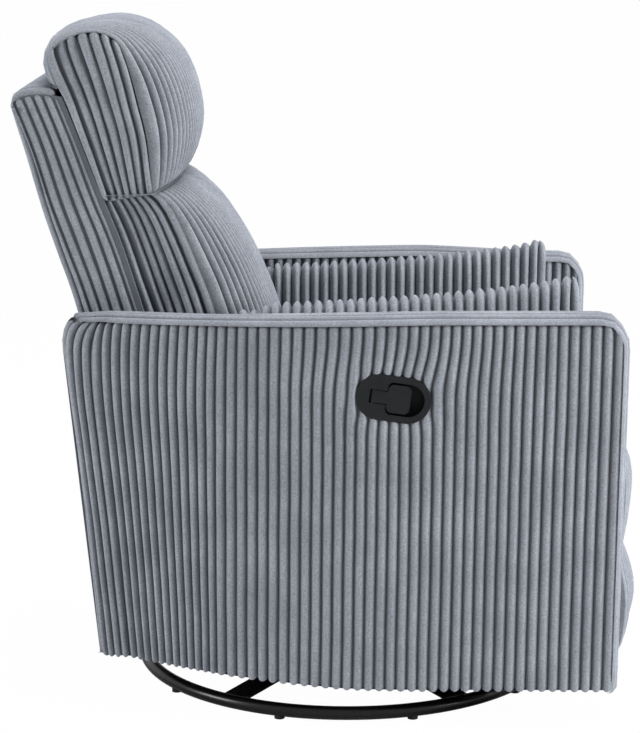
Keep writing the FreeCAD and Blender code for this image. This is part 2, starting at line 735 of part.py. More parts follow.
def make_rails():
    """Side plates of the mechanism, hung on the glide links."""
    lower = d.link_top - d.link_length
    hole = d.rivet_radius + d.running_play
    slot_half = d.rivet_radius + 4 * d.running_play
    slot_low = d.scissor_z - d.scissor_length * sin_of(d.scissor_closed) - slot_half
    slot_high = d.scissor_z - d.scissor_length * sin_of(d.scissor_open) + slot_half
    slot = [
        (-d.scissor_y - slot_half, slot_low),
        (-d.scissor_y + slot_half, slot_low),
        (-d.scissor_y + slot_half, slot_high),
        (-d.scissor_y - slot_half, slot_high),
    ]
    outline = [
        (-d.rail_front, d.rail_foot),
        (d.rail_foot_back, d.rail_foot),
        (d.rail_back, d.back_pivot_z - 2 * d.back_pivot_collar),
        (d.rail_back, d.back_pivot_z + 2 * d.back_pivot_collar),
        (d.seat_board_back, d.rail_top),
        (-d.rail_front, d.rail_top),
    ]
    holes = [
        (-d.link_y, lower, hole),
        (d.link_y, lower, hole),
        (-d.scissor_y, d.scissor_z, hole),
        (d.back_pivot_y, d.back_pivot_z, d.back_pivot_bolt + d.running_play),
        slot,
    ]
    for side, word in ((-1, "right"), (1, "left")):
        plate = side_plate(f"rail_{word}", side, d.rail_x, outline, holes)
        on_axis(group(f"rail_{word}_set", [plate]), f"{word}_side_plate")
    rivets = link_rivets("lower", lower, d.rail_x, d.link_x)
    for side in SIDES:
        inner = d.long_x - d.sheet / 6
        rivets.append(side_rod(f"scissor_rivet_{side + 1}", side, inner, d.rail_x + d.sheet,
                               -d.scissor_y, d.scissor_z, d.rivet_radius))
    on_axis(group("carriage_rivet_set", rivets), "carriage_rivets")
    bolts = []
    for side in SIDES:
        inner = d.back_half + d.fit_gap
        head = d.rail_x + d.sheet
        stem = side_rod(f"back_bolt_stem_{side + 1}", side, inner, head, d.back_pivot_y, d.back_pivot_z,
                        d.back_pivot_bolt)
        collar = side_rod(f"back_bolt_collar_{side + 1}", side, inner + d.sheet + d.fit_gap,
                          d.rail_x - d.fit_gap, d.back_pivot_y, d.back_pivot_z, d.back_pivot_collar)
        cap = side_rod(f"back_bolt_cap_{side + 1}", side, head, head + d.bolt_head_height,
                       d.back_pivot_y, d.back_pivot_z, d.back_pivot_collar)
        bolts.append(fuse(f"back_bolt_{side + 1}", [stem, collar, cap]))
    on_axis(group("back_bolt_set", bolts), "back_pivot_bolts")


def make_seat():
    """Seat boards, sinuous springs and seat cushion."""
    low = d.seat_base
    top = low + d.seat_board_height
    side_in = d.rail_x + d.sheet + d.fit_gap
    side_out = d.arm_inner - d.fit_gap
    cross = d.rail_x - d.fit_gap
    bolt_z = low + d.seat_board_height / 2
    for side, word in ((-1, "right"), (1, "left")):
        xs = (side_in, side_out) if side > 0 else (-side_out, -side_in)
        board = box(f"board_{word}", (xs[0], -d.seat_board_front, low), (xs[1], d.seat_board_back, top))
        holes = []
        for index, y in enumerate(arm_bolt_places()):
            holes.append(side_rod(f"board_hole_{word}_{index}", side, side_in - OVER, side_out + OVER, y,
                                  bolt_z, d.bolt_radius + d.running_play))
        on_axis(cut(f"board_{word}_cut", board, fuse(f"board_holes_{word}", holes)),
                f"{word}_seat_board")
    front = box("board_front", (-cross, -d.seat_board_front, low),
                (cross, -d.seat_board_front + d.seat_board, top))
    on_axis(group("board_front_set", [front]), "front_seat_board")
    rear = box("board_rear", (-cross, d.seat_board_back - d.seat_board, low),
               (cross, d.seat_board_back, top))
    on_axis(group("board_rear_set", [rear]), "rear_seat_board")
    spring_z = top + d.fit_gap + d.spring_wire
    on_axis(shaped("springs", sinuous_springs(spring_z)), "seat_springs")
    on_axis(shaped("seat", seat_cushion(float(seat_foot()))), "seat_cushion")


def seat_foot():
    """Underside of the seat cushion, on the springs."""
    return d.seat_base + d.seat_board_height + 2 * d.fit_gap + 2 * d.spring_wire


def sinuous_springs(z):
    """Flat zigzag springs from the front board to the rear board."""
    wire_radius = float(d.spring_wire)
    half = float(d.spring_half)
    count = int(d.spring_count.value)
    loops = int(d.spring_loops.value)
    start_y = float(-d.seat_board_front + d.spring_end) + wire_radius
    end_y = float(d.seat_board_back - d.spring_end) - wire_radius
    bend = (end_y - start_y) / (2 * loops)
    springs = []
    for number in range(count):
        middle = (number - (count - 1) / 2) * float(d.spring_pitch)
        edges = []
        y = start_y
        way = 1
        for loop in range(loops):
            left = Vector(middle - way * half, y, float(z))
            right = Vector(middle + way * half, y, float(z))
            edges.append(line(left, right))
            turn_mid = Vector(middle + way * (half + bend), y + bend, float(z))
            edges.append(arc(right, turn_mid, Vector(right.x, y + 2 * bend, float(z))))
            y += 2 * bend
            way = -way
        last = Vector(middle - way * half, y, float(z))
        edges.append(line(last, Vector(middle + way * half, y, float(z))))
        path = Part.Wire(edges)
        first = edges[0].Vertexes[0].Point
        section = Part.Wire([Part.makeCircle(wire_radius, first, Vector(1, 0, 0))])
        springs.append(path.makePipeShell([section], True, False))
    return Part.Compound(springs)


def cushion_ring(half, front, back, z, draw):
    """Closed outline of a cushion at one height; its sides are drawn in by a depth."""
    corners = [Vector(x, y, z) for x, y in ((-half, front), (half, front), (half, back), (-half, back))]
    middles = [Vector(0, front + draw, z), Vector(half - draw, (front + back) / 2, z),
               Vector(0, back - draw, z), Vector(-half + draw, (front + back) / 2, z)]
    edges = [arc(corners[i], middles[i], corners[(i + 1) % 4]) for i in range(4)]
    return Part.Wire(edges)


def seat_cushion(z):
    """Crowned seat cushion with drawn-in sides and a rolled front."""
    half = float(d.seat_half)
    front = -float(d.seat_front)
    back = float(d.seat_back)
    thick = float(d.seat_thick)
    crown = float(d.seat_crown)
    roll = float(d.seat_roll)
    draw = float(d.seat_draw)
    # each ring: inset of the outline, rise above the cushion's foot, draw of the sides
    rings = [
        (float(d.seat_edge), 0, draw),
        (0, thick * 0.35, draw),
        (roll * 0.1, thick * 0.72, draw),
        (roll, thick, draw * 0.7),
        (float(d.seat_slope), thick + crown, draw * 0.3),
    ]
    wires = [cushion_ring(half - inset, front + inset, back - inset, z + rise, pull)
             for inset, rise, pull in rings]
    return loft(wires)


def arm_bolt_places():
    """Fore and aft places of the bolts between seat boards and arms."""
    return (-d.arm_bolt_front, d.arm_bolt_back)


# Arms


# shares that shape an arm's rear corner: the flat rear end, and where the round passes
REAR_FLAT = 0.2
REAR_ROUND_OUT = 0.74
REAR_ROUND_IN = 0.27
# rounds of an arm's upper ends: shares of the round's run, in from the end and down from the top
FRONT_ROUND = ((-0.2, 1.3), (-0.13, 0.65), (0.05, 0.27), (0.48, 0.1), (1, 0))
REAR_ROUND = ((-0.2, 1.8), (0.06, 0.8), (0.27, 0.24), (0.8, 0))


def arm_ring(z, front, start, thick, rear):
    """Plan outline of an arm, on the +X side, at one height; thick is its thickness at the rear corner."""
    outer = float(d.arm_outer)
    inner = float(d.arm_inner)
    rear_inner = float(d.arm_rear_inner)
    corner = float(d.arm_corner)
    jog_start = float(d.arm_jog_start)
    jog_end = float(d.arm_jog_end)
    run_in = float(d.arm_rear_corner)
    turn_x = rear_inner + thick
    turn_y = rear - run_in
    slack = 1 - math.sqrt(0.5)
    # circle that leaves the straight side at the start and passes the rear corner
    run = turn_y - start
    fall = outer - turn_x
    curve = (run * run + fall * fall) / (2 * fall)
    half_way = (start + turn_y) / 2
    half_x = outer - curve + math.sqrt(curve * curve - run * run / 4)
    end_x = rear_inner + thick * REAR_FLAT
    round_x = end_x + (turn_x - end_x) * REAR_ROUND_OUT
    points = [
        Vector(inner, front, z),
        Vector(outer - corner, front, z),
        Vector(outer, front + corner, z),
        Vector(outer, start, z),
        Vector(turn_x, turn_y, z),
        Vector(end_x, rear, z),
        Vector(rear_inner, rear, z),
        Vector(rear_inner, jog_end, z),
        Vector(inner, jog_start, z),
    ]
    edges = [
        line(points[0], points[1]),
        arc(points[1], Vector(outer - corner * slack, front + corner * slack, z), points[2]),
        line(points[2], points[3]),
        arc(points[3], Vector(half_x, half_way, z), points[4]),
        arc(points[4], Vector(round_x, rear - run_in * REAR_ROUND_IN, z), points[5]),
        line(points[5], points[6]),
        line(points[6], points[7]),
        line(points[7], points[8]),
        line(points[8], points[0]),
    ]
    return Part.Wire(edges)


def arm_profile():
    """Side view of an arm as a solid across the whole arm: tilted foot, sloped top, rounded ends."""
    foot = float(d.arm_foot)
    foot_rear = float(d.arm_foot_rear)
    size = float(d.arm_round)
    front = -float(d.arm_front)
    rear = float(d.arm_rear_top)
    top_front = float(d.arm_top_front)
    top_rear = float(d.arm_top_rear)
    at_front = [Vector(0, front + x * size, top_front - z * size) for x, z in FRONT_ROUND]
    at_rear = [Vector(0, rear - x * size, top_rear - z * size) for x, z in REAR_ROUND]
    low_front = Vector(0, at_front[0].y, foot)
    low_middle = Vector(0, 0, foot)
    low_rear = Vector(0, at_rear[0].y, foot_rear)
    top_middle = Vector(0, 0, float(d.arm_top_mid))
    edges = [
        line(low_front, low_middle),
        line(low_middle, low_rear),
        line(low_rear, at_rear[0]),
        line(at_rear[0], at_rear[1]),
        arc(*at_rear[1:4]),
        line(at_rear[3], top_middle),
        line(top_middle, at_front[4]),
        line(at_front[4], at_front[3]),
        arc(at_front[3], at_front[2], at_front[1]),
        line(at_front[1], at_front[0]),
        line(at_front[0], low_front),
    ]
    face = Part.Face(Part.Wire(edges))
    face.translate(Vector(float(d.arm_rear_inner) - OVER, 0, 0))
    return face.extrude(Vector(float(d.arm_outer - d.arm_rear_inner) + 2 * OVER, 0, 0))


def arm_crown():
    """Front view of an arm's top, rounded over at its outer edge."""
    inner = float(d.arm_rear_inner - d.fit_gap)
    outer = float(d.arm_outer + d.fit_gap)
    edge = float(d.arm_edge)
    top = float(d.arm_top_front) + edge / 4
    points = [
        Vector(inner, 0, 0),
        Vector(outer, 0, 0),
        Vector(outer, 0, top - edge * 1.4),
        Vector(outer - edge, 0, top - edge * 0.4),
        Vector(inner, 0, top),
    ]
    edges = [
        line(points[0], points[1]),
        line(points[1], points[2]),
        arc(points[2], Vector(outer - edge * 0.3, 0, top - edge * 0.7), points[3]),
        line(points[3], points[4]),
        line(points[4], points[0]),
    ]
    face = Part.Face(Part.Wire(edges))
    deep = float(d.arm_rear_top + d.arm_round)
    face.translate(Vector(0, -deep, 0))
    return face.extrude(Vector(0, 2 * deep, 0))


def arm_body():
    """Padded outside of an arm on the +X side, before its hollow."""
    foot_z = float(d.arm_foot) - OVER
    top_z = float(d.arm_top_front) + OVER
    foot = arm_ring(foot_z, -float(d.arm_foot_front), -float(d.arm_curve_start_foot),
                    float(d.arm_rear_thick_foot), float(d.arm_rear_foot))
    top = arm_ring(top_z, -float(d.arm_front), -float(d.arm_curve_start_top),
                   float(d.arm_rear_thick_top), float(d.arm_rear_top))
    return loft([foot, top]).common(arm_profile()).common(arm_crown())


def hollow_span(clear):
    """Low and high corners of the hollow in an arm, taken in by a clearance."""
    wall = float(d.arm_wall_end)
    low = Vector(float(d.arm_inner + d.arm_wall_inner) + clear,
                 -float(d.arm_foot_front) + wall + clear,
                 float(d.arm_foot) + wall + clear)
    high = Vector(float(d.arm_outer - d.arm_wall_outer) - clear,
                  float(d.arm_hollow_back) - clear,
                  float(d.arm_top_rear - d.arm_wall_top) - clear)
    return low, high


def block(low, high):
    """Box shape between two corners."""
    size = high - low
    return Part.makeBox(size.x, size.y, size.z, low)


def mirrored(shape, side):
    """The shape itself on the +X side, or its mirror image on the other."""
    if side > 0:
        return shape
    return shape.mirror(Vector(), Vector(1, 0, 0))


def x_rod(x0, x1, y, z, radius):
    """Cylinder shape along X."""
    return Part.makeCylinder(float(radius), x1 - x0, Vector(x0, float(y), float(z)), Vector(1, 0, 0))


def round_ended(length, height, x0, x1):
    """Prism with round ends along X, drawn about the bezel's middle."""
    radius = float(height) / 2
    run = float(length) / 2 - radius
    low = Vector(x0, 0, 0)
    edges = [
        line(low + Vector(0, -run, -radius), low + Vector(0, run, -radius)),
        arc(low + Vector(0, run, -radius), low + Vector(0, run + radius, 0), low + Vector(0, run, radius)),
        line(low + Vector(0, run, radius), low + Vector(0, -run, radius)),
        arc(low + Vector(0, -run, radius), low + Vector(0, -run - radius, 0),
            low + Vector(0, -run, -radius)),
    ]
    return Part.Face(Part.Wire(edges)).extrude(Vector(x1 - x0, 0, 0))


def oval(length, height, x0, x1):
    """Prism with round ends along X, tilted and carried to the bezel's place."""
    return bezel_turn(round_ended(length, height, x0, x1))


def corners_rounded(shape, y, radius):
    """Shape with the edges along X that stand at one distance from the bezel's middle rounded."""
    edges = []
    for edge in shape.Edges:
        start = edge.Vertexes[0].Point
        end = edge.Vertexes[-1].Point
        if abs(start.y - y) < 1e-6 and abs(end.y - y) < 1e-6 and abs(start.z - end.z) < 1e-6:
            edges.append(edge)
    return shape.makeFillet(radius, edges)


def bezel_turn(shape):
    """Tilt a shape drawn about the bezel's middle and carry it there."""
    turn = FreeCAD.Rotation(Vector(1, 0, 0), float(d.bezel_tilt))
    there = FreeCAD.Placement(Vector(0, -float(d.bezel_y), float(d.bezel_z)), turn)
    return shape.transformed(there.toMatrix(), True)


def make_arms():
    """Arm padding, the wooden frame in its hollow, and the bolts that hold each arm to the seat."""
    bolt_z = float(d.seat_base + d.seat_board_height / 2)
    inner = float(d.arm_inner)
    for side, word in ((-1, "right"), (1, "left")):
        shape = arm_body().cut(block(*hollow_span(0)))
        for y in arm_bolt_places():
            wall_end = inner + float(d.arm_wall_inner)
            hole = float(d.bolt_radius + d.running_play)
            shape = shape.cut(x_rod(inner - OVER, wall_end + OVER, y, bolt_z, hole))
        if side < 0:
            clear = 2 * d.fit_gap
            face_x = float(d.arm_outer - d.bezel_sink - d.bezel_sheet) - float(d.fit_gap)
            deep_x = float(d.arm_outer - d.arm_wall_outer) - OVER
            seat = oval(d.bezel_length + clear, d.bezel_height + clear, face_x, face_x + 2 * OVER)
            shape = shape.cut(seat)
            cup_length = d.bezel_length - 2 * d.bezel_lip + clear
            cup_height = d.bezel_height - 2 * d.bezel_lip + clear
            shape = shape.cut(oval(cup_length, cup_height, deep_x, face_x + OVER))
            shape = shape.cut(cable_along(float(d.cable_radius + d.fit_gap)))
        on_axis(shaped(f"arm_{word}_shape", mirrored(shape, side)), f"{word}_arm")
        on_axis(shaped(f"arm_{word}_boards", mirrored(arm_boards(), side)), f"{word}_arm_frame")
    bolts = []
    for side in SIDES:
        for index, y in enumerate(arm_bolt_places()):
            start = d.rail_x + d.sheet + d.fit_gap
            end = d.arm_inner + d.arm_wall_inner
            bolts.append(side_rod(f"arm_bolt_{side + 1}_{index}", side, start, end, y,
                                  d.seat_base + d.seat_board_height / 2, d.bolt_radius))
    on_axis(group("arm_bolt_set", bolts), "arm_bolts")


def arm_boards():
    """Front post, rear post, top rail and foot rail of an arm frame, glued into one frame."""
    low, high = hollow_span(float(d.fit_gap))
    wide = float(d.arm_board)
    frame = block(low, high)
    inset = Vector(-OVER, wide, wide)
    return frame.cut(block(low + inset, high - inset))


def make_pads():
    """Pillow pads on the inner sides of the arms, with a raised front corner."""
    inner = float(d.pad_inner)
    outer = float(d.arm_inner) - float(d.fit_gap)
    ridge = float(d.pad_ridge)
    low_in = float(seat_foot() + d.seat_thick + d.seat_crown + d.pad_lift)
    low_out = low_in - float(d.pad_fall)
    rear = float(d.pad_rear)
    front = -float(d.pad_front)
    end = float(d.pad_end)
    flat = float(d.pad_flat)
    shoulder = float(d.pad_shoulder)
    belly_in = float(d.pad_belly)
    top_rear = float(d.pad_top_rear)
    top_front = float(d.pad_top_front)
    # each section: place, ridge height, how far the outline is taken in
    sections = [
        (rear, top_rear - end / 2, end * 0.4),
        (rear - end, top_rear, 0),
        (-float(d.pad_middle), float(d.pad_top_mid), 0),
        (front + float(d.pad_corner), top_front - end * 0.75, 0),
        (front + end, top_front, 0),
        (front, top_front - end * 0.75, end * 0.6),
    ]
    wires = []
    for y, top, inset in sections:
        a = Vector(inner + inset, y, low_in + inset)
        b = Vector(ridge - flat, y, top)
        c = Vector(ridge + flat, y, top)
        e = Vector(outer, y, top - shoulder)
        f = Vector(outer, y, low_out + inset)
        belly = Vector(inner + inset + belly_in, y, (low_in + top + shoulder) / 2)
        wires.append(Part.Wire([
            arc(a, belly, b),
            line(b, c),
            arc(c, Vector(outer - shoulder / 3, y, top - shoulder * 0.4), e),
            line(e, f),
            line(f, a),
        ]))
    shape = loft(wires)
    for side, word in ((-1, "right"), (1, "left")):
        on_axis(shaped(f"pad_{word}", mirrored(shape, side)), f"{word}_arm_pad")


def make_skirt():
    """Padded panel that closes the rear between the arms, below the back."""
    half = float(d.arm_rear_inner) - float(d.fit_gap)
    foot = float(d.arm_foot_rear + d.fit_gap)
    top = float(d.skirt_top)
    thick = float(d.skirt_thick)
    rear_foot = float(d.arm_rear_foot - d.skirt_inset)
    rear_top = rear_foot + float(d.skirt_lean)
    points = [
        Vector(-half, rear_foot - thick, foot),
        Vector(-half, rear_foot, foot),
        Vector(-half, rear_top, top),
        Vector(-half, rear_top - thick, top),
    ]
    face = Part.Face(Part.makePolygon([*points, points[0]]))
    on_axis(shaped("skirt", face.extrude(Vector(2 * half, 0, 0))), "rear_skirt")


# Release handle and its cable, in the sitter's right arm


def make_handle():
    """Bezel with a flat face over a cup, pull lever with its pin, release cable and latch box."""
    outer = float(d.arm_outer)
    face_x = outer - float(d.bezel_sink)
    back_x = face_x - float(d.bezel_depth)
    sheet = float(d.bezel_sheet)
    face = round_ended(d.bezel_length, d.bezel_height, face_x - sheet, face_x)
    cup_length = d.bezel_length - 2 * d.bezel_lip
    cup_height = d.bezel_height - 2 * d.bezel_lip
    cup = round_ended(cup_length, cup_height, back_x, face_x - sheet / 2)
    room_length = cup_length - 2 * sheet
    room_height = cup_height - 2 * sheet
    room = round_ended(room_length, room_height, back_x + sheet, face_x - sheet)
    barrel_x = outer - float(d.lever_sink) - float(d.lever_barrel)
    pivot_y = float(d.lever_pivot)
    pin_half = float(room_height) / 2
    pin = Part.makeCylinder(float(d.lever_pin), 2 * pin_half, Vector(barrel_x, pivot_y, -pin_half))
    bezel = face.fuse(cup).cut(room).cut(bezel_window(face_x - sheet - 1, face_x + 1)).removeSplitter()
    on_axis(shaped("bezel_shape", mirrored(bezel_turn(bezel), -1)), "handle_bezel")
    hair = d.running_play / 2
    trim = round_ended(room_length - hair, room_height - hair, back_x, face_x)
    on_axis(shaped("lever_pin_shape", mirrored(bezel_turn(pin.common(trim)), -1)), "lever_pin")
    on_axis(shaped("lever_shape", mirrored(lever(barrel_x, pivot_y), -1)), "release_lever")
    make_cable()


def bezel_window(x0, x1):
    """Opening in the bezel's face: a slot round the lever's neck, a window for paddle and fingers."""
    play = float(d.lever_play)
    neck = float(d.lever_neck) / 2 + play
    shoulder = float(d.lever_neck_end) + play
    slot_end = float(d.lever_pivot + d.lever_barrel) + play
    corner = float(d.lever_corner)
    slot = block(Vector(x0, shoulder - corner, -neck), Vector(x1, slot_end, neck))
    half = float(d.window_height) / 2
    reach = float(d.window_reach)
    whole = round_ended(2 * d.window_reach, d.window_height, x0, x1)
    window = whole.common(block(Vector(x0, -reach, -half), Vector(x1, shoulder, half)))
    return corners_rounded(window, shoulder, corner).fuse(slot)


def lever(barrel_x, pivot_y):
    """Flat lever: hinge barrel, narrow neck and rounded paddle, drawn about the bezel's middle."""
    thick = float(d.lever_thick)
    face_x = float(d.arm_outer) - float(d.lever_sink)
    neck = float(d.lever_neck) / 2
    paddle = float(d.lever_paddle) / 2
    neck_end = float(d.lever_neck_end)
    tip = -float(d.lever_paddle_end)
    corner = float(d.lever_corner)
    foot = Vector(barrel_x, pivot_y, -neck)
    barrel = Part.makeCylinder(float(d.lever_barrel), 2 * neck, foot)
    bore = Part.makeCylinder(float(d.lever_pin + d.running_play), 2 * neck, foot)
    arm = block(Vector(face_x - thick, neck_end - corner, -neck), Vector(face_x, pivot_y, neck))
    plate = block(Vector(face_x - thick, tip, -paddle), Vector(face_x, neck_end, paddle))
    for y in (tip, neck_end):
        plate = corners_rounded(plate, y, corner)
    return bezel_turn(barrel.fuse([arm, plate]).removeSplitter().cut(bore))


# share of the cable's run inwards that its bend takes
CABLE_BEND = 0.6


def cable_along(radius):
    """Round bar on the way of the cable: from the bezel down inside the arm and out to the latch."""
    y = -float(d.bezel_y)
    x = float(d.arm_outer - d.cable_in)
    low = float(d.cable_low)
    cup_half = float(d.bezel_height / 2 - d.bezel_lip)
    cup_foot = float(d.bezel_z) - cup_half / math.cos(math.radians(float(d.bezel_tilt)))
    latch_x = float(d.rail_x + d.sheet + d.latch_width + 2 * d.fit_gap)
    bend = (x - latch_x) * CABLE_BEND
    slack = bend * (1 - math.sqrt(0.5))
    start = Vector(x, y, cup_foot - 2 * float(d.fit_gap))
    bend_top = Vector(x, y, low + bend)
    bend_mid = Vector(x - slack, y, low + slack)
    bend_end = Vector(x - bend, y, low)
    path = Part.Wire([line(start, bend_top), arc(bend_top, bend_mid, bend_end),
                      line(bend_end, Vector(latch_x, y, low))])
    section = Part.Wire([Part.makeCircle(radius, start, Vector(0, 0, -1))])
    return path.makePipeShell([section], True, False)


def make_cable():
    """Release cable and the latch box that it ends in."""
    cable = cable_along(float(d.cable_radius))
    on_axis(shaped("cable_shape", mirrored(cable, -1)), "release_cable")
    half = d.latch_half
    near = d.rail_x + d.sheet + d.fit_gap
    latch = box("latch_block", (-near - d.latch_width, -d.bezel_y - half, d.cable_low - half),
                (-near, -d.bezel_y + half, d.cable_low + half))
    on_axis(group("latch_set", [latch]), "footrest_latch")


# Back


def slab_line(z, foot_y, top_y):
    """Place of a slab face at a height."""
    foot = float(d.slab_foot)
    top = float(d.slab_top)
    return float(foot_y) + (float(top_y) - float(foot_y)) * (z - foot) / (top - foot)


def slab_profile(inset, x0, x1):
    """Back slab, or the space inside it, between two planes across the chair."""
    foot = float(d.slab_foot) + inset
    top = float(d.slab_top) - inset
    shoulder = float(d.slab_shoulder)

    def rear(z):
        return slab_line(z, d.slab_rear_foot, d.slab_rear_top) - inset

    def front(z):
        return slab_line(z, d.slab_front_foot, d.slab_front_top) + inset

    points = [
        Vector(x0, front(foot), foot),
        Vector(x0, rear(foot), foot),
        Vector(x0, rear(top - shoulder), top - shoulder),
        Vector(x0, rear(top) - shoulder * 0.5, top - float(d.slab_crest)),
        Vector(x0, front(top), top),
    ]
    mid = Vector(x0, rear(top) - shoulder * 0.14, top - shoulder * 0.4)
    edges = [
        line(points[0], points[1]),
        line(points[1], points[2]),
        arc(points[2], mid, points[3]),
        line(points[3], points[4]),
        line(points[4], points[0]),
    ]
    return Part.Face(Part.Wire(edges)).extrude(Vector(x1 - x0, 0, 0))


def make_back():
    """Back slab with its wooden frame, lumbar cushion, headrest and side brackets."""
    half = float(d.back_half)
    wall = float(d.slab_wall)
    gap = float(d.fit_gap)
    slab = slab_profile(0, -half, half)
    hollow = slab_profile(wall, -half + wall, half - wall)
    on_axis(shaped("slab_shape", slab.cut(hollow)), "back_shell")
    frame = slab_profile(wall + gap, -half + wall + gap, half - wall - gap)
    wide = float(d.back_board)
    foot = float(d.slab_foot) + wall + gap
    top = float(d.slab_top) - wall - gap
    inner_half = half - wall - gap - wide
    window_foot = foot + wide
    window_top = top - 2 * wide
    middle = (window_foot + window_top) / 2
    for low, high in ((window_foot, middle - wide / 2), (middle + wide / 2, window_top)):
        window = block(Vector(-inner_half, 0, low), Vector(inner_half, float(d.slab_rear_top), high))
        frame = frame.cut(window)
    on_axis(shaped("back_boards", frame), "back_frame")
    make_lumbar()
    make_headrest()
    make_back_brackets()


# how far a cushion's side has risen to its crown where its edge ends
EDGE_RISE = 0.55
# Outlines in side view, each point at the cushion's sides and at its crown. The lumbar cushion's points are
# shares of its depth and height. The headrest's are shares of its depth in front of the slab's top edge, or
# where positive of its reach behind it, and of its rise over the slab's top, or where negative of its drop.
LUMBAR_POINTS = (
    ((0.55, 0.985), (0.76, 1.045)),
    ((0.63, 0.54), (1, 0.645)),
    ((0.63, 0.09), (1, 0.1)),
)
HEAD_POINTS = (
    ((0.32, 0.37), (1, 0.3)),
    ((0.23, 0.58), (0.73, 0.61)),
    ((-0.12, 0.86), (-0.09, 0.93)),
    ((-0.28, 0.93), (-0.35, 1)),
    ((-0.465, 0.725), (-0.62, 0.89)),
    ((-0.61, -0.24), (-1, -0.21)),
    ((-0.7, -0.925), (-0.925, -0.85)),
)


def across(profile, half):
    """Ruled cushion through side, crown, crown and side profiles; profile takes 0 for side, 1 for crown."""
    crown = float(d.crown_half)
    edge = half - float(d.cushion_edge)
    places = ((-half, 0), (-edge, EDGE_RISE), (-crown, 1), (crown, 1), (edge, EDGE_RISE), (half, 0))
    return loft([profile(x, share) for x, share in places])


def between(points, share):
    """Each point between its place at the side and its place at the crown."""
    return [(side[0] + (crown[0] - side[0]) * share, side[1] + (crown[1] - side[1]) * share)
            for side, crown in points]


def slab_front(z):
    """Front of the slab, with a clearance."""
    return slab_line(z, d.slab_front_foot, d.slab_front_top) - float(d.fit_gap)


def head_foot():
    """Height of the headrest's foot on the slab."""
    return float(d.slab_top - d.head_drop)


def lumbar_profile(x, share):
    """Side view of the lumbar cushion at one place across the chair."""
    foot = float(d.lumbar_foot)
    top = head_foot() - float(d.lumbar_gap)
    front = []
    for forward, up in between(LUMBAR_POINTS, share):
        z = foot + up * (top - foot)
        front.append(Vector(x, slab_front(z) - forward * float(d.lumbar_depth), z))
    rear_foot = Vector(x, slab_front(foot), foot)
    rear_top = Vector(x, slab_front(top), top)
    return Part.Wire([
        line(rear_foot, rear_top),
        line(rear_top, front[0]),
        arc(*front),
        line(front[2], rear_foot),
    ])


def make_lumbar():
    """Crowned lumbar cushion on the slab's front."""
    on_axis(shaped("lumbar_shape", across(lumbar_profile, float(d.lumbar_half))), "lumbar_cushion")


def headrest_profile(x, share):
    """Side view of the headrest at one place across the chair."""
    edge = float(d.slab_front_top)
    top = float(d.slab_top)
    ledge = top + 4 * float(d.fit_gap)
    points = []
    for forward, up in between(HEAD_POINTS, share):
        reach = float(d.head_over if forward > 0 else d.head_depth)
        height = float(d.head_rise if up > 0 else d.head_drop)
        points.append(Vector(x, edge + forward * reach, top + up * height))
    rear_foot = Vector(x, slab_front(head_foot()), head_foot())
    rear_ledge = Vector(x, slab_front(ledge) - 2 * float(d.fit_gap), ledge)
    return Part.Wire([
        line(rear_foot, rear_ledge),
        line(rear_ledge, points[0]),
        arc(*points[0:3]),
        arc(*points[2:5]),
        arc(*points[4:7]),
        line(points[6], rear_foot),
    ])


def make_headrest():
    """Crowned headrest that folds over the slab's top."""
    on_axis(shaped("headrest_shape", across(headrest_profile, float(d.headrest_half))), "headrest_cushion")


def make_back_brackets():
    """Steel brackets from the slab's sides down to the recline pivot."""
    y = d.back_pivot_y
    z = d.back_pivot_z
    reach = 2 * d.back_pivot_collar
    outline = [
        (y - reach, z - reach),
        (y + reach, z - reach),
        (y + 5 * reach, z + 7 * reach),
        (y + 3 * reach, z + 7 * reach),
        (y - reach, z + reach),
    ]
    holes = [(y, z, d.back_pivot_bolt + d.running_play)]
    plates = [side_plate(f"back_bracket_{side + 1}", side, d.back_half + d.fit_gap, outline, holes)
              for side in SIDES]
    on_axis(group("back_bracket_set", plates), "back_brackets")


# Footrest and its scissor links


def scissor_step():
    """How far one stage of the closed scissor reaches forward, and how far it hangs."""
    forward = d.scissor_length * cos_of(d.scissor_closed)
    drop = d.scissor_length * sin_of(d.scissor_closed)
    return forward, drop


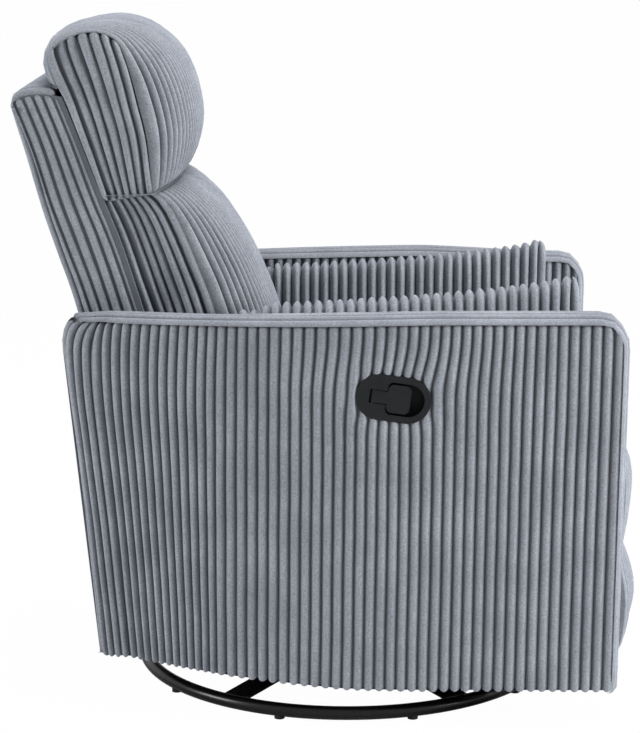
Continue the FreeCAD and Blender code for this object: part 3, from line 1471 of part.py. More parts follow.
def make_footrest():
    """Two scissor stages each side, torque tube, brackets, board and padded panel."""
    forward, drop = scissor_step()
    y = -d.scissor_y
    z = d.scissor_z
    lean = 90 - d.scissor_closed
    middle = d.scissor_length / 2
    holes = (0, middle, d.scissor_length)
    long_x = d.long_x
    cross_x = d.cross_x
    stages = (("first", y), ("second", y - forward))
    for stage, start_y in stages:
        long_bars = []
        cross_bars = []
        rivets = []
        cross_rivets = []
        for side in SIDES:
            tag = f"{stage}_{side + 1}"
            if stage == "first":
                tube = (d.tube_along,)
            else:
                tube = ()
            long_bars.append(long_link(f"long_{tag}", side, start_y, lean, holes, tube))
            # a cross link hangs from its upper forward end, leaning back
            cross_bars.append(link(f"cross_{tag}", side, cross_x, (start_y - forward, z), d.scissor_length,
                                   d.scissor_half, holes, lean, 1))
            reach = (cross_x - d.sheet / 6, long_x + d.sheet + d.sheet / 6)
            rivets.append(side_rod(f"mid_{tag}", side, *reach, start_y - forward / 2, z - drop / 2,
                                   d.rivet_radius))
            if stage == "first":
                rivets.append(side_rod(f"low_{tag}", side, *reach, start_y - forward, z - drop,
                                       d.rivet_radius))
                cross_rivets.append(side_rod(f"high_{tag}", side, *reach, start_y - forward, z,
                                             d.rivet_radius))
                cross_rivets.append(side_rod(f"slider_{tag}", side, cross_x, d.rail_x + d.sheet, start_y,
                                             z - drop, d.rivet_radius))
            else:
                end_reach = (d.footrest_bracket_x, cross_x + d.sheet)
                cross_rivets.append(side_rod(f"end_{tag}", side, *end_reach, start_y - forward, z,
                                             d.rivet_radius))
        on_axis(group(f"{stage}_long_set", long_bars), f"{stage}_long_links")
        on_axis(group(f"{stage}_cross_set", cross_bars), f"{stage}_cross_links")
        on_axis(group(f"{stage}_long_rivet_set", rivets), f"{stage}_long_rivets")
        on_axis(group(f"{stage}_cross_rivet_set", cross_rivets), f"{stage}_cross_rivets")
    tube_y, tube_z = tube_place()
    tube = rod("tube_solid", (-long_x - d.sheet, tube_y, tube_z), 2 * (long_x + d.sheet),
               d.tube_radius, "X")
    on_axis(group("tube_set", [tube]), "torque_tube")
    make_panel(y - 2 * forward, z)


def tube_place():
    """Middle of the torque tube, on the first long link."""
    away = d.tube_along
    return -d.scissor_y - away * cos_of(d.scissor_closed), d.scissor_z - away * sin_of(d.scissor_closed)


def long_link(name, side, start_y, lean, holes, tube):
    """Long scissor link, hung from its upper rear end and leaning forward."""
    bar = link(name, side, d.long_x, (start_y, d.scissor_z), d.scissor_length, d.scissor_half, holes, lean)
    if not tube:
        return bar
    tube_y, tube_z = tube_place()
    tool = rod(f"{name}_tube_hole", (-d.long_x * 2, tube_y, tube_z), d.long_x * 4,
               d.tube_radius + d.running_play, "X")
    return cut(f"{name}_holed", bar, tool)


def make_panel(pivot_y, pivot_z):
    """Footrest panel: brackets, board and a pad with two rolls."""
    gap = d.fit_gap
    board_rear = pivot_y - d.footrest_set
    board_front = board_rear - d.footrest_board
    low = d.footrest_foot + d.footrest_board_low
    high = d.footrest_top - d.footrest_board_high
    edge = pivot_y + d.scissor_half
    arm_low = pivot_z - 2 * d.scissor_half
    arm_high = pivot_z + d.scissor_half
    outline = [
        (board_rear + gap, arm_low - d.scissor_half),
        (edge, arm_low),
        (edge, arm_high),
        (board_rear + gap, high - d.scissor_half),
    ]
    hole = [(pivot_y, pivot_z, d.rivet_radius + d.running_play)]
    brackets = [side_plate(f"footrest_bracket_{side + 1}", side, d.footrest_bracket_x, outline, hole)
                for side in SIDES]
    on_axis(group("footrest_bracket_set", brackets), "footrest_brackets")
    half = d.footrest_board_half
    board = box("footrest_board_box", (-half, board_front, low), (half, board_rear, high))
    on_axis(group("footrest_board_set", [board]), "footrest_board")
    rear = float(board_front) - float(gap)
    on_axis(shaped("footrest_pad_shape", footrest_pad(rear)), "footrest_pad")


# places across the footrest pad, as shares of its half width, and the share of its depth left there
PILLOW = ((-1, 0.45), (-0.9, 0.7), (-0.65, 0.9), (0, 1), (0.65, 0.9), (0.9, 0.7), (1, 0.45))


def footrest_ring(x, rear, share):
    """Side view of the footrest pad at one place across the chair, with a share of its full depth."""
    foot = float(d.footrest_foot)
    top = float(d.footrest_top)
    pinch_z = float(d.footrest_pinch_z)

    def front(distance, z):
        return Vector(x, rear - (float(distance) + rear) * share, z)

    low_front = front(d.footrest_front - d.footrest_lower_round, foot)
    lower = front(d.footrest_front, (foot + pinch_z) / 2)
    valley = front(d.footrest_pinch, pinch_z)
    upper = front(d.footrest_upper_front, (top + pinch_z) / 2)
    high_front = front(d.footrest_upper_front - d.footrest_upper_round, top)
    return Part.Wire([
        line(Vector(x, rear, top), Vector(x, rear, foot)),
        line(Vector(x, rear, foot), low_front),
        arc(low_front, lower, valley),
        arc(valley, upper, high_front),
        line(high_front, Vector(x, rear, top)),
    ])


def footrest_pad(rear):
    """Pad with two rolls that run across the chair, shallower towards its ends."""
    half = float(d.footrest_half)
    return loft([footrest_ring(half * place, rear, share) for place, share in PILLOW])


# Build, check and write


def check(objects):
    """Stop if any object failed or any sub-part isn't a valid solid."""
    for obj in doc.Objects:
        if {"Invalid", "Error"} & set(obj.State):
            raise RuntimeError(f"{obj.Name} failed: {obj.State}")
    for obj in objects:
        shape = obj.Shape
        if shape.isNull() or not shape.isValid() or not shape.Solids:
            raise RuntimeError(f"{obj.Label} has no valid solid")


make_base()
make_swivel_frame()
make_links()
make_rails()
make_seat()
make_arms()
make_pads()
make_skirt()
make_handle()
make_back()
make_footrest()
doc.recompute()
check(nodes)
for part in nodes:
    part.Shape.exportStep(f"parts/{part.Label}.step")
    print(part.Label, len(part.Shape.Solids), round(part.Shape.Volume))
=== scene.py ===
import json
import math

import bpy
import numpy as np
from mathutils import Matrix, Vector
from mathutils.bvhtree import BVHTree


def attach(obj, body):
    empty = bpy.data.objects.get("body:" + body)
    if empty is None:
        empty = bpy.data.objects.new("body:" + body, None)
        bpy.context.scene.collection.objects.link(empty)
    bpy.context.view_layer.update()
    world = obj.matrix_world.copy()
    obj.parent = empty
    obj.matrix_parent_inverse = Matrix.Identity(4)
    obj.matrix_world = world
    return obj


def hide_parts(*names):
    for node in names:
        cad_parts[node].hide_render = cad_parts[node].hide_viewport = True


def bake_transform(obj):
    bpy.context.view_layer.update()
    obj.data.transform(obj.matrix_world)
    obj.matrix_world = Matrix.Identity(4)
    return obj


# Swivel glider recliner in chunky corduroy plush. Metres; the sitter faces -Y, +X is the sitter's
# left. Shapes are drawn about the swivel axis, so y here is the distance behind it. Each mesh moves
# by SWIVEL_Y when it is built.

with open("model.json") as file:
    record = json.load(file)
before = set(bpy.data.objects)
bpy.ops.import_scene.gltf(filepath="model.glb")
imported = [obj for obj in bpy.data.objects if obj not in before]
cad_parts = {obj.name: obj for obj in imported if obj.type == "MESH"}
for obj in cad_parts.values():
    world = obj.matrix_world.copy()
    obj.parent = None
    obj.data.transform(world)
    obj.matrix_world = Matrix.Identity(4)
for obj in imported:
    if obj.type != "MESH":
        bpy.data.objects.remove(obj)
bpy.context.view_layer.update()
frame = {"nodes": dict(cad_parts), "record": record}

SWIVEL_Y = -0.0286
SIDES = (-1, 1)

# Corduroy: pitch and height of its ribs, how far they wander and how much their height varies
PITCH = 0.0162
RIB_HEIGHT = 0.0078
WOBBLE = 0.0011
UNEVEN = 0.10
# places of the points across one rib, whose crest is at 0
RIB_STEPS = (-1, -0.93, -0.78, -0.55, -0.28, 0, 0.28, 0.55, 0.78, 0.93)
# how deep a seam draws cloth in, over what length a rib ends round, how far the valleys are drawn
# in there, and how full the valley beside an outermost rib is
SEAM_TUCK = 0.0035
END_ROUND = 0.009
SCALLOP = 0.0055
EDGE_FILL = 0.45

# how finely a smooth curve is cut between two of its points, and a line that is only sampled
CURVE_STEPS = 24
SAMPLES = 60


# Numbers and curves


def smoothstep(x):
    """0 below 0, 1 above 1, smooth between."""
    x = np.clip(x, 0, 1)
    return x * x * (3 - 2 * x)


def curve(points, ts):
    """Smooth curve through a few points, taken at shares of its length."""
    p = np.array(points, float)
    p = np.vstack([2 * p[0] - p[1], p, 2 * p[-1] - p[-2]])
    fine = []
    for i in range(1, len(p) - 2):
        t = np.linspace(0, 1, CURVE_STEPS, endpoint=False)[:, None]
        fine.append(0.5 * (2 * p[i] + (p[i + 1] - p[i - 1]) * t
                           + (2 * p[i - 1] - 5 * p[i] + 4 * p[i + 1] - p[i + 2]) * t ** 2
                           + (3 * p[i] - p[i - 1] - 3 * p[i + 1] + p[i + 2]) * t ** 3))
    fine = np.vstack([*fine, p[-2:-1]])
    return along(fine, ts)


def along(line, ts):
    """Points of a polyline at shares of its length."""
    steps = np.linalg.norm(np.diff(line, axis=0), axis=1)
    run = np.concatenate([[0], np.cumsum(steps)])
    run /= run[-1]
    ts = np.asarray(ts, float)
    return np.stack([np.interp(ts, run, line[:, k]) for k in range(line.shape[1])], -1)


def length_of(line):
    """Length of a polyline."""
    return float(np.linalg.norm(np.diff(np.asarray(line), axis=0), axis=1).sum())


def coons(bottom, top, left, right):
    """Surface between four edge curves, functions of a share; bottom and top run left to right."""
    def surface(s, t):
        s3 = s[..., None]
        t3 = t[..., None]
        ruled = (1 - t3) * bottom(s) + t3 * top(s) + (1 - s3) * left(t) + s3 * right(t)
        ends = np.array([0.0, 1.0])
        low = bottom(ends)
        high = top(ends)
        corners = ((1 - s3) * (1 - t3) * low[0] + s3 * (1 - t3) * low[1]
                   + (1 - s3) * t3 * high[0] + s3 * t3 * high[1])
        return ruled - corners
    return surface


def wander(s, t, seed):
    """Slow, repeatable unevenness between about -1 and 1."""
    rng = np.random.default_rng(seed)
    total = np.zeros(np.broadcast(s, t).shape)
    for octave in (1, 2, 3):
        a, b = rng.uniform(2, 5, 2) * octave
        p, q = rng.uniform(0, 6.28, 2)
        total = total + np.sin(a * s * 3 + p + 2 * np.sin(b * t + q)) * np.cos(b * t + p) / octave
    return total / 1.8


def normals_of(points):
    """Unit normals of a grid of points, rows by columns."""
    down = np.gradient(points, axis=0)
    over = np.gradient(points, axis=1)
    n = np.cross(over, down)
    size = np.linalg.norm(n, axis=-1, keepdims=True)
    return n / np.maximum(size, 1e-12)


# Meshes made of grids

# how far a simulated form may move a panel, a side panel and the footrest's panel
SHIFT_CAP = 0.024
SIDE_CAP = 0.007
FOOT_CAP = 0.003
# share of a panel that its seams hold back, and the coarse grid of shifts over it
SEAM_HOLD = 0.18
SHIFT_ROWS = 25
SHIFT_COLUMNS = 33

# simulated cushions: rings of points in a core, and how far inside it the cloth starts; the size of
# the cloth's cells, its air pressure, the steps in each frame, and the frames
CORE_RINGS = 41
START = 0.008
HEAD_START = 0.010
VOXEL = 0.006
PRESSURE = 4
CLOTH_QUALITY = 3
CLOTH_FRAMES = 20


def add_object(name, data):
    """New object in the scene."""
    obj = bpy.data.objects.new(name, data)
    bpy.context.scene.collection.objects.link(obj)
    return obj


class Sewn:
    """One mesh sewn from several grids, with a level of painted shade at each point: how deep it
    lies between the ribs, or a set level for a plain sheet.
    """

    def __init__(self):
        self.points = []
        self.faces = []
        self.depth = []
        self.count = 0

    def add(self, points, depth, skip=None):
        """Add a grid; faces whose corners are all in skip are left out."""
        rows, columns = points.shape[:2]
        index = self.count + np.arange(rows * columns).reshape(rows, columns)
        quads = np.stack([index[:-1, :-1], index[:-1, 1:], index[1:, 1:], index[1:, :-1]], -1)
        if skip is not None:
            gone = skip[:-1, :-1] & skip[:-1, 1:] & skip[1:, 1:] & skip[1:, :-1]
            quads = quads[~gone]
        self.faces.append(quads.reshape(-1, 4))
        self.points.append(points.reshape(-1, 3))
        self.depth.append(np.broadcast_to(depth, (rows, columns)).reshape(-1))
        self.count += rows * columns

    def build(self, name, side=1, settle=0.0):
        """Make the object; side -1 mirrors it, settle lets its upper front sink."""
        points = np.vstack(self.points)
        front = smoothstep((-points[:, 1] - 0.10) / 0.27)
        upper = smoothstep((points[:, 2] - 0.30) / 0.3)
        points[:, 2] -= settle * front * upper
        points[:, 1] += SWIVEL_Y
        faces = np.vstack(self.faces)
        if side < 0:
            points = points * np.array([-1, 1, 1])
            faces = faces[:, ::-1]
        mesh = bpy.data.meshes.new(name)
        mesh.from_pydata(points.tolist(), [], faces.tolist())
        # painted shade: each point's level of valley shade, stored for the plush material
        depth = mesh.attributes.new("painted_valley_shade", "FLOAT", "POINT")
        depth.data.foreach_set("value", np.concatenate(self.depth).astype(np.float32))
        mesh.shade_smooth()
        return add_object(name, mesh)


def row_shares(length, step=0.016, close=0.0014):
    """Rows along a rib: close together at its two ends."""
    ends = []
    at = 0
    gap = close
    while at < END_ROUND * 1.6:
        ends.append(at)
        at += gap
        gap *= 1.35
    middle = np.linspace(at, length - at, max(4, int((length - 2 * at) / step)))
    rows = np.concatenate([ends, middle, length - np.array(ends[::-1])])
    return rows / length


def ribbed(sewn, surface, across, length, out, seed, form=None, rows=None, height=RIB_HEIGHT,
           tuck=(SEAM_TUCK, SEAM_TUCK), wobble=WOBBLE, warp=None, skip=None, shape=None, seams=(),
           cap=SHIFT_CAP):
    """Corduroy over surface(s, t): ribs run along t, s crosses them.

    across and length are the cloth's measures, out points out of its middle, and tuck is how deep
    its two sewn ends are drawn in.
    """
    count = max(1, int(round(across / PITCH)))
    steps = np.array(RIB_STEPS)
    offsets = (np.arange(count)[:, None] + (steps + 1) / 2).reshape(-1)
    offsets = np.append(offsets, count)
    phase = np.append(np.tile(steps, count), -1)
    profile = 1 - phase ** 2
    edge = np.clip(np.minimum(offsets, count - offsets) * 2, 0, 1)
    profile = profile + (1 - profile) * EDGE_FILL * (1 - edge)
    shares = row_shares(length) if rows is None else rows
    s, t = np.meshgrid(offsets / count, shares)
    inside = np.clip(np.minimum(s, 1 - s) * count, 0, 1)
    s = s + inside * wander(s, t, seed) * wobble / across
    if warp is not None:
        s = s + warp(s, t)
    points = surface(s, t)
    if form is not None:
        points = fitted(points, surface, form, seams, cap)
    normals = normals_of(points)
    middle = normals[normals.shape[0] // 2, normals.shape[1] // 2]
    flip = float(np.dot(middle, out)) < 0
    if flip:
        normals = -normals
    points = scalloped(points, t, length, profile, tuck)
    rise = ribs_rise(t, length, tuck)
    uneven = 1 + UNEVEN * wander(s * 2, t, seed + 50)
    ribs = profile[None, :] * rise * uneven
    lift = height * (ribs - 1) - (1 - rise) * np.where(t < 0.5, tuck[0], tuck[1])
    if shape is not None:
        lift, ribs = shape(s, t, points, lift, ribs)
    points = points + normals * lift[..., None]
    hidden = None if skip is None else skip(points)
    # painted shade: the lower a point lies between the ribs, and the nearer a sewn end where they
    # fall away, the darker it is painted
    depth = 1 - ribs
    if flip:
        points = points[:, ::-1]
        depth = depth[:, ::-1]
        hidden = None if hidden is None else hidden[:, ::-1]
    sewn.add(points, depth, hidden)


def scalloped(points, t, length, profile, tuck):
    """Draw the valleys in from a sewn end, so that each rib ends round."""
    run = np.gradient(points, axis=0)
    run /= np.maximum(np.linalg.norm(run, axis=-1, keepdims=True), 1e-12)
    amount = np.zeros_like(t)
    for end, deep, way in ((t, tuck[0], 1), (1 - t, tuck[1], -1)):
        if deep > 0:
            reach = np.clip(1 - end * length / (2 * END_ROUND), 0, 1)
            amount = amount + way * SCALLOP * reach ** 2 * (1 - profile[None, :]) ** 1.5
    return points + run * amount[..., None]


def ribs_rise(t, length, tuck):
    """Rounded ends of the ribs: 0 at a sewn end, 1 a little way in."""
    rise = np.ones_like(t)
    for end, deep in ((t, tuck[0]), (1 - t, tuck[1])):
        if deep > 0:
            reach = np.clip(end * length / END_ROUND, 0, 1)
            rise = rise * np.sqrt(np.clip(1 - (1 - reach) ** 2, 0, 1))
    return rise


def fitted(points, surface, form, seams, cap):
    """Carry a grid in or out onto a simulated form, through a coarse grid of shifts.

    The edges and the seams across the grid hold their place.
    """
    s, t = np.meshgrid(np.linspace(0, 1, SHIFT_COLUMNS), np.linspace(0, 1, SHIFT_ROWS))
    base = surface(s, t)
    shift = np.zeros_like(base)
    outward = normals_of(base)
    for i in range(SHIFT_ROWS):
        for j in range(SHIFT_COLUMNS):
            spot = form.find_nearest(Vector(base[i, j]))[0]
            if spot is not None:
                shift[i, j] = outward[i, j] * np.dot(np.array(spot) - base[i, j], outward[i, j])
    size = np.linalg.norm(shift, axis=-1, keepdims=True)
    shift *= np.minimum(1, cap / np.maximum(size, 1e-9))
    for _ in range(2):
        wide = np.pad(shift, ((1, 1), (1, 1), (0, 0)), mode="edge")
        around = wide[:-2, 1:-1] + wide[2:, 1:-1] + wide[1:-1, :-2] + wide[1:-1, 2:]
        shift = (around + 2 * shift) / 6
    held = smoothstep(np.minimum(s, 1 - s) / SEAM_HOLD)
    held *= smoothstep(np.minimum(t, 1 - t) / SEAM_HOLD)
    for seam in seams:
        held *= smoothstep(np.abs(t - seam) / SEAM_HOLD)
    shift *= held[..., None]
    rows, columns = points.shape[:2]
    us = np.linspace(0, SHIFT_ROWS - 1, rows)
    vs = np.linspace(0, SHIFT_COLUMNS - 1, columns)
    i0 = np.clip(us.astype(int), 0, SHIFT_ROWS - 2)
    j0 = np.clip(vs.astype(int), 0, SHIFT_COLUMNS - 2)
    fu = smoothstep(us - i0)[:, None, None]
    fv = smoothstep(vs - j0)[None, :, None]
    low = shift[i0][:, j0] * (1 - fv) + shift[i0][:, j0 + 1] * fv
    high = shift[i0 + 1][:, j0] * (1 - fv) + shift[i0 + 1][:, j0 + 1] * fv
    return points + low * (1 - fu) + high * fu


def core_rings(panel, rear, half):
    """Rings of a closed core behind a panel; rear goes back from the panel's end to its start."""
    ts = np.linspace(0, 1, SAMPLES)
    rings = []
    for x in np.linspace(-1, 1, CORE_RINGS):
        front = panel(np.full(SAMPLES, (x + 1) / 2), ts)[:, 1:]
        outline = np.vstack([front, np.array(rear).reshape(-1, 2)])
        rings.append(np.column_stack([np.full(len(outline), x * half), outline]))
    return rings


def swollen(panel, rear, half, start=START):
    """Swell the core behind a panel as cloth with air in it, and return a tree of its surface.

    The cloth ends about the core's own form.
    """
    rings = core_rings(panel, rear, half)
    count = len(rings[0])
    index = np.arange(len(rings) * count).reshape(-1, count)
    after = np.roll(index, -1, axis=1)
    faces = np.stack([index[:-1], index[1:], after[1:], after[:-1]], -1).reshape(-1, 4).tolist()
    faces += [index[0].tolist(), index[-1][::-1].tolist()]
    scene = bpy.context.scene
    mesh = bpy.data.meshes.new("core")
    mesh.from_pydata(np.vstack(rings).tolist(), [], faces)
    core = add_object("core", mesh)
    remesh = core.modifiers.new("Remesh", "REMESH")
    remesh.mode = "VOXEL"
    remesh.voxel_size = VOXEL
    graph = bpy.context.evaluated_depsgraph_get()
    body = bpy.data.meshes.new_from_object(core.evaluated_get(graph))
    places = np.zeros(len(body.vertices) * 3)
    normals = np.zeros(len(body.vertices) * 3)
    body.vertices.foreach_get("co", places)
    body.vertices.foreach_get("normal", normals)
    drawn = places.reshape(-1, 3)
    normals = normals.reshape(-1, 3)
    places = drawn - normals * start
    body.vertices.foreach_set("co", places.reshape(-1))
    body.update()
    cushion = add_object("cushion", body)
    cloth = cushion.modifiers.new("Cloth", "CLOTH")
    cloth.settings.quality = CLOTH_QUALITY
    cloth.settings.use_pressure = True
    cloth.settings.uniform_pressure_force = PRESSURE
    cloth.settings.effector_weights.gravity = 0
    cloth.point_cache.frame_end = CLOTH_FRAMES
    for step in range(1, CLOTH_FRAMES + 1):
        scene.frame_set(step)
    graph = bpy.context.evaluated_depsgraph_get()
    done = cushion.evaluated_get(graph).to_mesh()
    blown = np.zeros(len(done.vertices) * 3)
    done.vertices.foreach_get("co", blown)
    move = blown.reshape(-1, 3) - places
    outward = np.sum(move * normals, axis=1, keepdims=True)
    move -= normals * np.median(outward)
    size = np.linalg.norm(move, axis=1, keepdims=True)
    move *= np.minimum(1, SHIFT_CAP / np.maximum(size, 1e-9))
    polygons = [list(polygon.vertices) for polygon in body.polygons]
    tree = BVHTree.FromPolygons([Vector(spot) for spot in drawn + move], polygons)
    for extra in (core, cushion):
        bpy.data.objects.remove(extra)
    scene.frame_set(1)
    return tree


# Arms: TOP and FOOT are measures at the upper and the lower end of the walls

ARM_OUTER = 0.3635
ARM_INNER = 0.285
ARM_REAR_INNER = 0.236
ARM_JOG = (0.200, 0.350)
ARM_FRONT_TOP = 0.4065
ARM_FRONT_FOOT = 0.400
ARM_REAR_TOP = 0.437
ARM_REAR_FOOT = 0.379
ARM_CURVE_TOP = 1.221
ARM_CURVE_FOOT = 0.979
ARM_CURVE_START_TOP = -0.050
ARM_CURVE_START_FOOT = -0.100
ARM_FOOT_Z = (0.053, 0.0735)
ARM_SEAM_Z = ((-0.345, 0.6222), (-0.13, 0.6222), (0.208, 0.6154), (0.39, 0.6110))
ARM_FRONT_ROUND = 0.032
ARM_REAR_ROUND = 0.048
# how far forward of the rear the plan turns in, and points along that turn
ARM_TURN = 0.046
TURN_POINTS = 24
# heights between which the plan changes from foot to top, levels there, and points in each level
RING_Z = (0.054, 0.640)
LEVELS = 13
LEVEL_POINTS = 400
REAR_BOW = 0.004
# how far the left arm's front sinks
FAR_DROP = 0.010
# nominal heights of the outer wall's lower and upper end
WALL_Z = (0.06, 0.612)
WALL_HEIGHT = WALL_Z[1] - WALL_Z[0]
# run of the ribs that keep their pitch at every height
FRONT_RUN = 0.60
# strip between the walls: its width, its crown, and rows of points up the front and along the top
GUSSET_WIDTH = 0.080
GUSSET_CROWN = 0.010
GUSSET_FRONT = 22
GUSSET_TOP = 64

# oval of the handle's bezel, and the rows of points that pass it
BEZEL_Y = -0.068
BEZEL_Z = 0.510
BEZEL_HALF = (0.0555, 0.0345)
BEZEL_TILT = math.radians(8)
BEZEL_REACH = 0.052
BEZEL_ROWS = 52
# near it the outer wall's cloth puffs up, dips behind the lip and ends inside the cup
BEZEL_SIDE_X = 0.3
BEZEL_SIDE_Y = 0.1
BEZEL_PUFF = 0.0022
BEZEL_DIP = 0.0085
BEZEL_CUT = -0.0050


def outer_plan(front, start, radius, rear):
    """Plan of an arm's outside at one height, from its front seam round to its inner rear edge."""
    turn_y = rear - ARM_TURN
    ys = np.linspace(start, turn_y, SAMPLES)
    curved = np.stack([ARM_OUTER - radius + np.sqrt(radius ** 2 - (ys - start) ** 2), ys], -1)
    turn_x = curved[-1, 0]
    end_x = ARM_REAR_INNER + max(0.004, (turn_x - ARM_REAR_INNER) * 0.25)
    angles = np.linspace(0, math.pi / 2, TURN_POINTS)[1:]
    corner = np.stack([end_x + (turn_x - end_x) * np.cos(angles),
                       turn_y + (rear - turn_y) * np.sin(angles)], -1)
    straight = np.stack([np.full(20, ARM_OUTER), np.linspace(-front, start, 20)], -1)
    face = np.array([[ARM_REAR_INNER, rear]])
    return [straight[:-1], curved, corner, face]


def arm_plan(z):
    """Outer plan at a height, and how far along it the rear corner lies."""
    share = (z - RING_Z[0]) / (RING_Z[1] - RING_Z[0])
    foot = outer_plan(ARM_FRONT_FOOT, ARM_CURVE_START_FOOT, ARM_CURVE_FOOT, ARM_REAR_FOOT)
    top = outer_plan(ARM_FRONT_TOP, ARM_CURVE_START_TOP, ARM_CURVE_TOP, ARM_REAR_TOP)
    parts = [a + (b - a) * share for a, b in zip(foot, top)]
    line = np.vstack(parts)
    line[:, 1] -= REAR_BOW * math.sin(math.pi * share) * smoothstep((line[:, 1] - 0.15) / 0.2)
    before = np.vstack(parts[:2] + [parts[2][:TURN_POINTS // 2]])
    return line, length_of(before) / length_of(line)


def seam_height(y):
    """Height of an arm's top seam at a distance behind the axis."""
    ys, zs = zip(*ARM_SEAM_Z)
    front = np.clip((-y - (ARM_FRONT_TOP - ARM_FRONT_ROUND)) / ARM_FRONT_ROUND, 0, 1)
    return np.interp(y, ys, zs) - ARM_FRONT_ROUND * (1 - np.sqrt(1 - front ** 2))


def rear_weight(y):
    """How far a place is into an arm's rounded rear, 0 to 1."""
    return smoothstep((y - 0.33) / 0.075)


def foot_height(y):
    """Height of an arm's lower edge."""
    return np.interp(y, (0, ARM_REAR_FOOT), ARM_FOOT_Z)


def wall_edge(z, y, reach):
    """How far the wall is drawn in: under the foot, and over the rounded rear top."""
    low = np.clip(1 - (z - foot_height(y)) / 0.016, 0, 1)
    tucked = 0.010 * (1 - np.sqrt(1 - low ** 2))
    up = np.clip((z - (reach - ARM_REAR_ROUND)) / ARM_REAR_ROUND, 0, 1) * 0.93
    over = ARM_REAR_ROUND * 0.75 * (1 - np.sqrt(1 - up ** 2)) * rear_weight(y)
    return tucked, over


OUTER_LINES = [arm_plan(z)[0] for z in np.linspace(*RING_Z, LEVELS)]
TOP_LINE, TOP_CORNER = arm_plan(RING_Z[1])
TOP_RUN = length_of(TOP_LINE)


def outer_tables():
    """Plan of the outer wall at each level; ribs keep their pitch in front and fan out behind."""
    want = np.linspace(0, 1, LEVEL_POINTS) * TOP_RUN
    tables = []
    for line in OUTER_LINES:
        total = length_of(line)
        rest = (want - FRONT_RUN) * (total - FRONT_RUN) / (TOP_RUN - FRONT_RUN)
        tables.append(along(line, np.where(want < FRONT_RUN, want, FRONT_RUN + rest) / total))
    return np.stack(tables)


OUTER_TABLES = outer_tables()


def outer_point(s, z):
    """Point of the outer wall's plan at a share of its run and a height."""
    level = np.clip((z - RING_Z[0]) / (RING_Z[1] - RING_Z[0]) * (LEVELS - 1), 0, LEVELS - 1.001)
    row = level.astype(int)
    part = (level - row)[..., None]
    column = np.clip(s, 0, 1) * (LEVEL_POINTS - 1)
    left = np.minimum(column.astype(int), LEVEL_POINTS - 2)
    frac = (column - left)[..., None]

    def pick(r):
        return OUTER_TABLES[r, left] * (1 - frac) + OUTER_TABLES[r, left + 1] * frac

    return pick(row) * (1 - part) + pick(row + 1) * part


def outer_wall(s, t):
    """Outer side and rear of an arm; t runs from the foot to the top seam."""
    guess = along(TOP_LINE, s)[..., 1]
    foot = foot_height(guess)
    reach = seam_height(guess)
    z = foot + (reach - foot) * t
    plan = outer_point(s, z)
    y = plan[..., 1]
    tucked, over = wall_edge(z, y, reach)
    middle_x = (ARM_OUTER + ARM_INNER) / 2 - 0.03
    middle = np.stack([np.full_like(y, middle_x), np.minimum(y, 0.30)], -1)
    inward = middle - plan
    inward /= np.maximum(np.linalg.norm(inward, axis=-1, keepdims=True), 1e-9)
    flat = np.stack([-np.ones_like(y), np.zeros_like(y)], -1)
    turn = rear_weight(y)[..., None]
    inward = flat * (1 - turn) + inward * turn
    plan = plan + inward * (tucked + over)[..., None]
    return np.concatenate([plan, z[..., None]], -1)


# plan of an arm's inner side, from its rear edge to its front seam
INNER_LINE = np.array([
    (ARM_REAR_INNER, ARM_REAR_TOP), (ARM_REAR_INNER, ARM_JOG[1] + 0.01),
    (ARM_REAR_INNER + 0.004, ARM_JOG[1] - 0.012), (ARM_INNER - 0.004, ARM_JOG[0] + 0.012),
    (ARM_INNER, ARM_JOG[0] - 0.012), (ARM_INNER, -ARM_FRONT_TOP),
])


def inner_wall(s, t):
    """Inner side of an arm, from its rear edge forward."""
    plan = along(INNER_LINE, s)
    y = plan[..., 1]
    foot = foot_height(y)
    reach = seam_height(y)
    z = foot + (reach - foot) * t
    lean = (RING_Z[1] - z) / (RING_Z[1] - RING_Z[0])
    front = ARM_FRONT_FOOT - ARM_FRONT_TOP
    rear = ARM_REAR_FOOT - ARM_REAR_TOP
    y = y + lean * np.where(y > 0, rear * smoothstep(y / 0.40), -front * smoothstep(-y / 0.40))
    tucked, over = wall_edge(z, y, reach)
    y = y - over * smoothstep((y - 0.30) / 0.12)
    x = plan[..., 0] + tucked
    return np.stack([x, y, z], -1)


def bezel_reach(y, z):
    """Distance outside the bezel's oval; negative inside it."""
    dy = y - BEZEL_Y
    dz = z - BEZEL_Z
    along_it = dy * math.cos(BEZEL_TILT) + dz * math.sin(BEZEL_TILT)
    over_it = -dy * math.sin(BEZEL_TILT) + dz * math.cos(BEZEL_TILT)
    run = BEZEL_HALF[0] - BEZEL_HALF[1]
    beyond = np.maximum(np.abs(along_it) - run, 0)
    return np.hypot(beyond, over_it) - BEZEL_HALF[1]


def outer_rows(dense):
    """Rows of the outer wall; dense ones pass the bezel."""
    rows = row_shares(WALL_HEIGHT, 0.014)
    if dense:
        low = (BEZEL_Z - BEZEL_REACH - WALL_Z[0]) / WALL_HEIGHT
        high = (BEZEL_Z + BEZEL_REACH - WALL_Z[0]) / WALL_HEIGHT
        rows = rows[(rows < low) | (rows > high)]
        rows = np.sort(np.concatenate([rows, np.linspace(low, high, BEZEL_ROWS)]))
    return rows


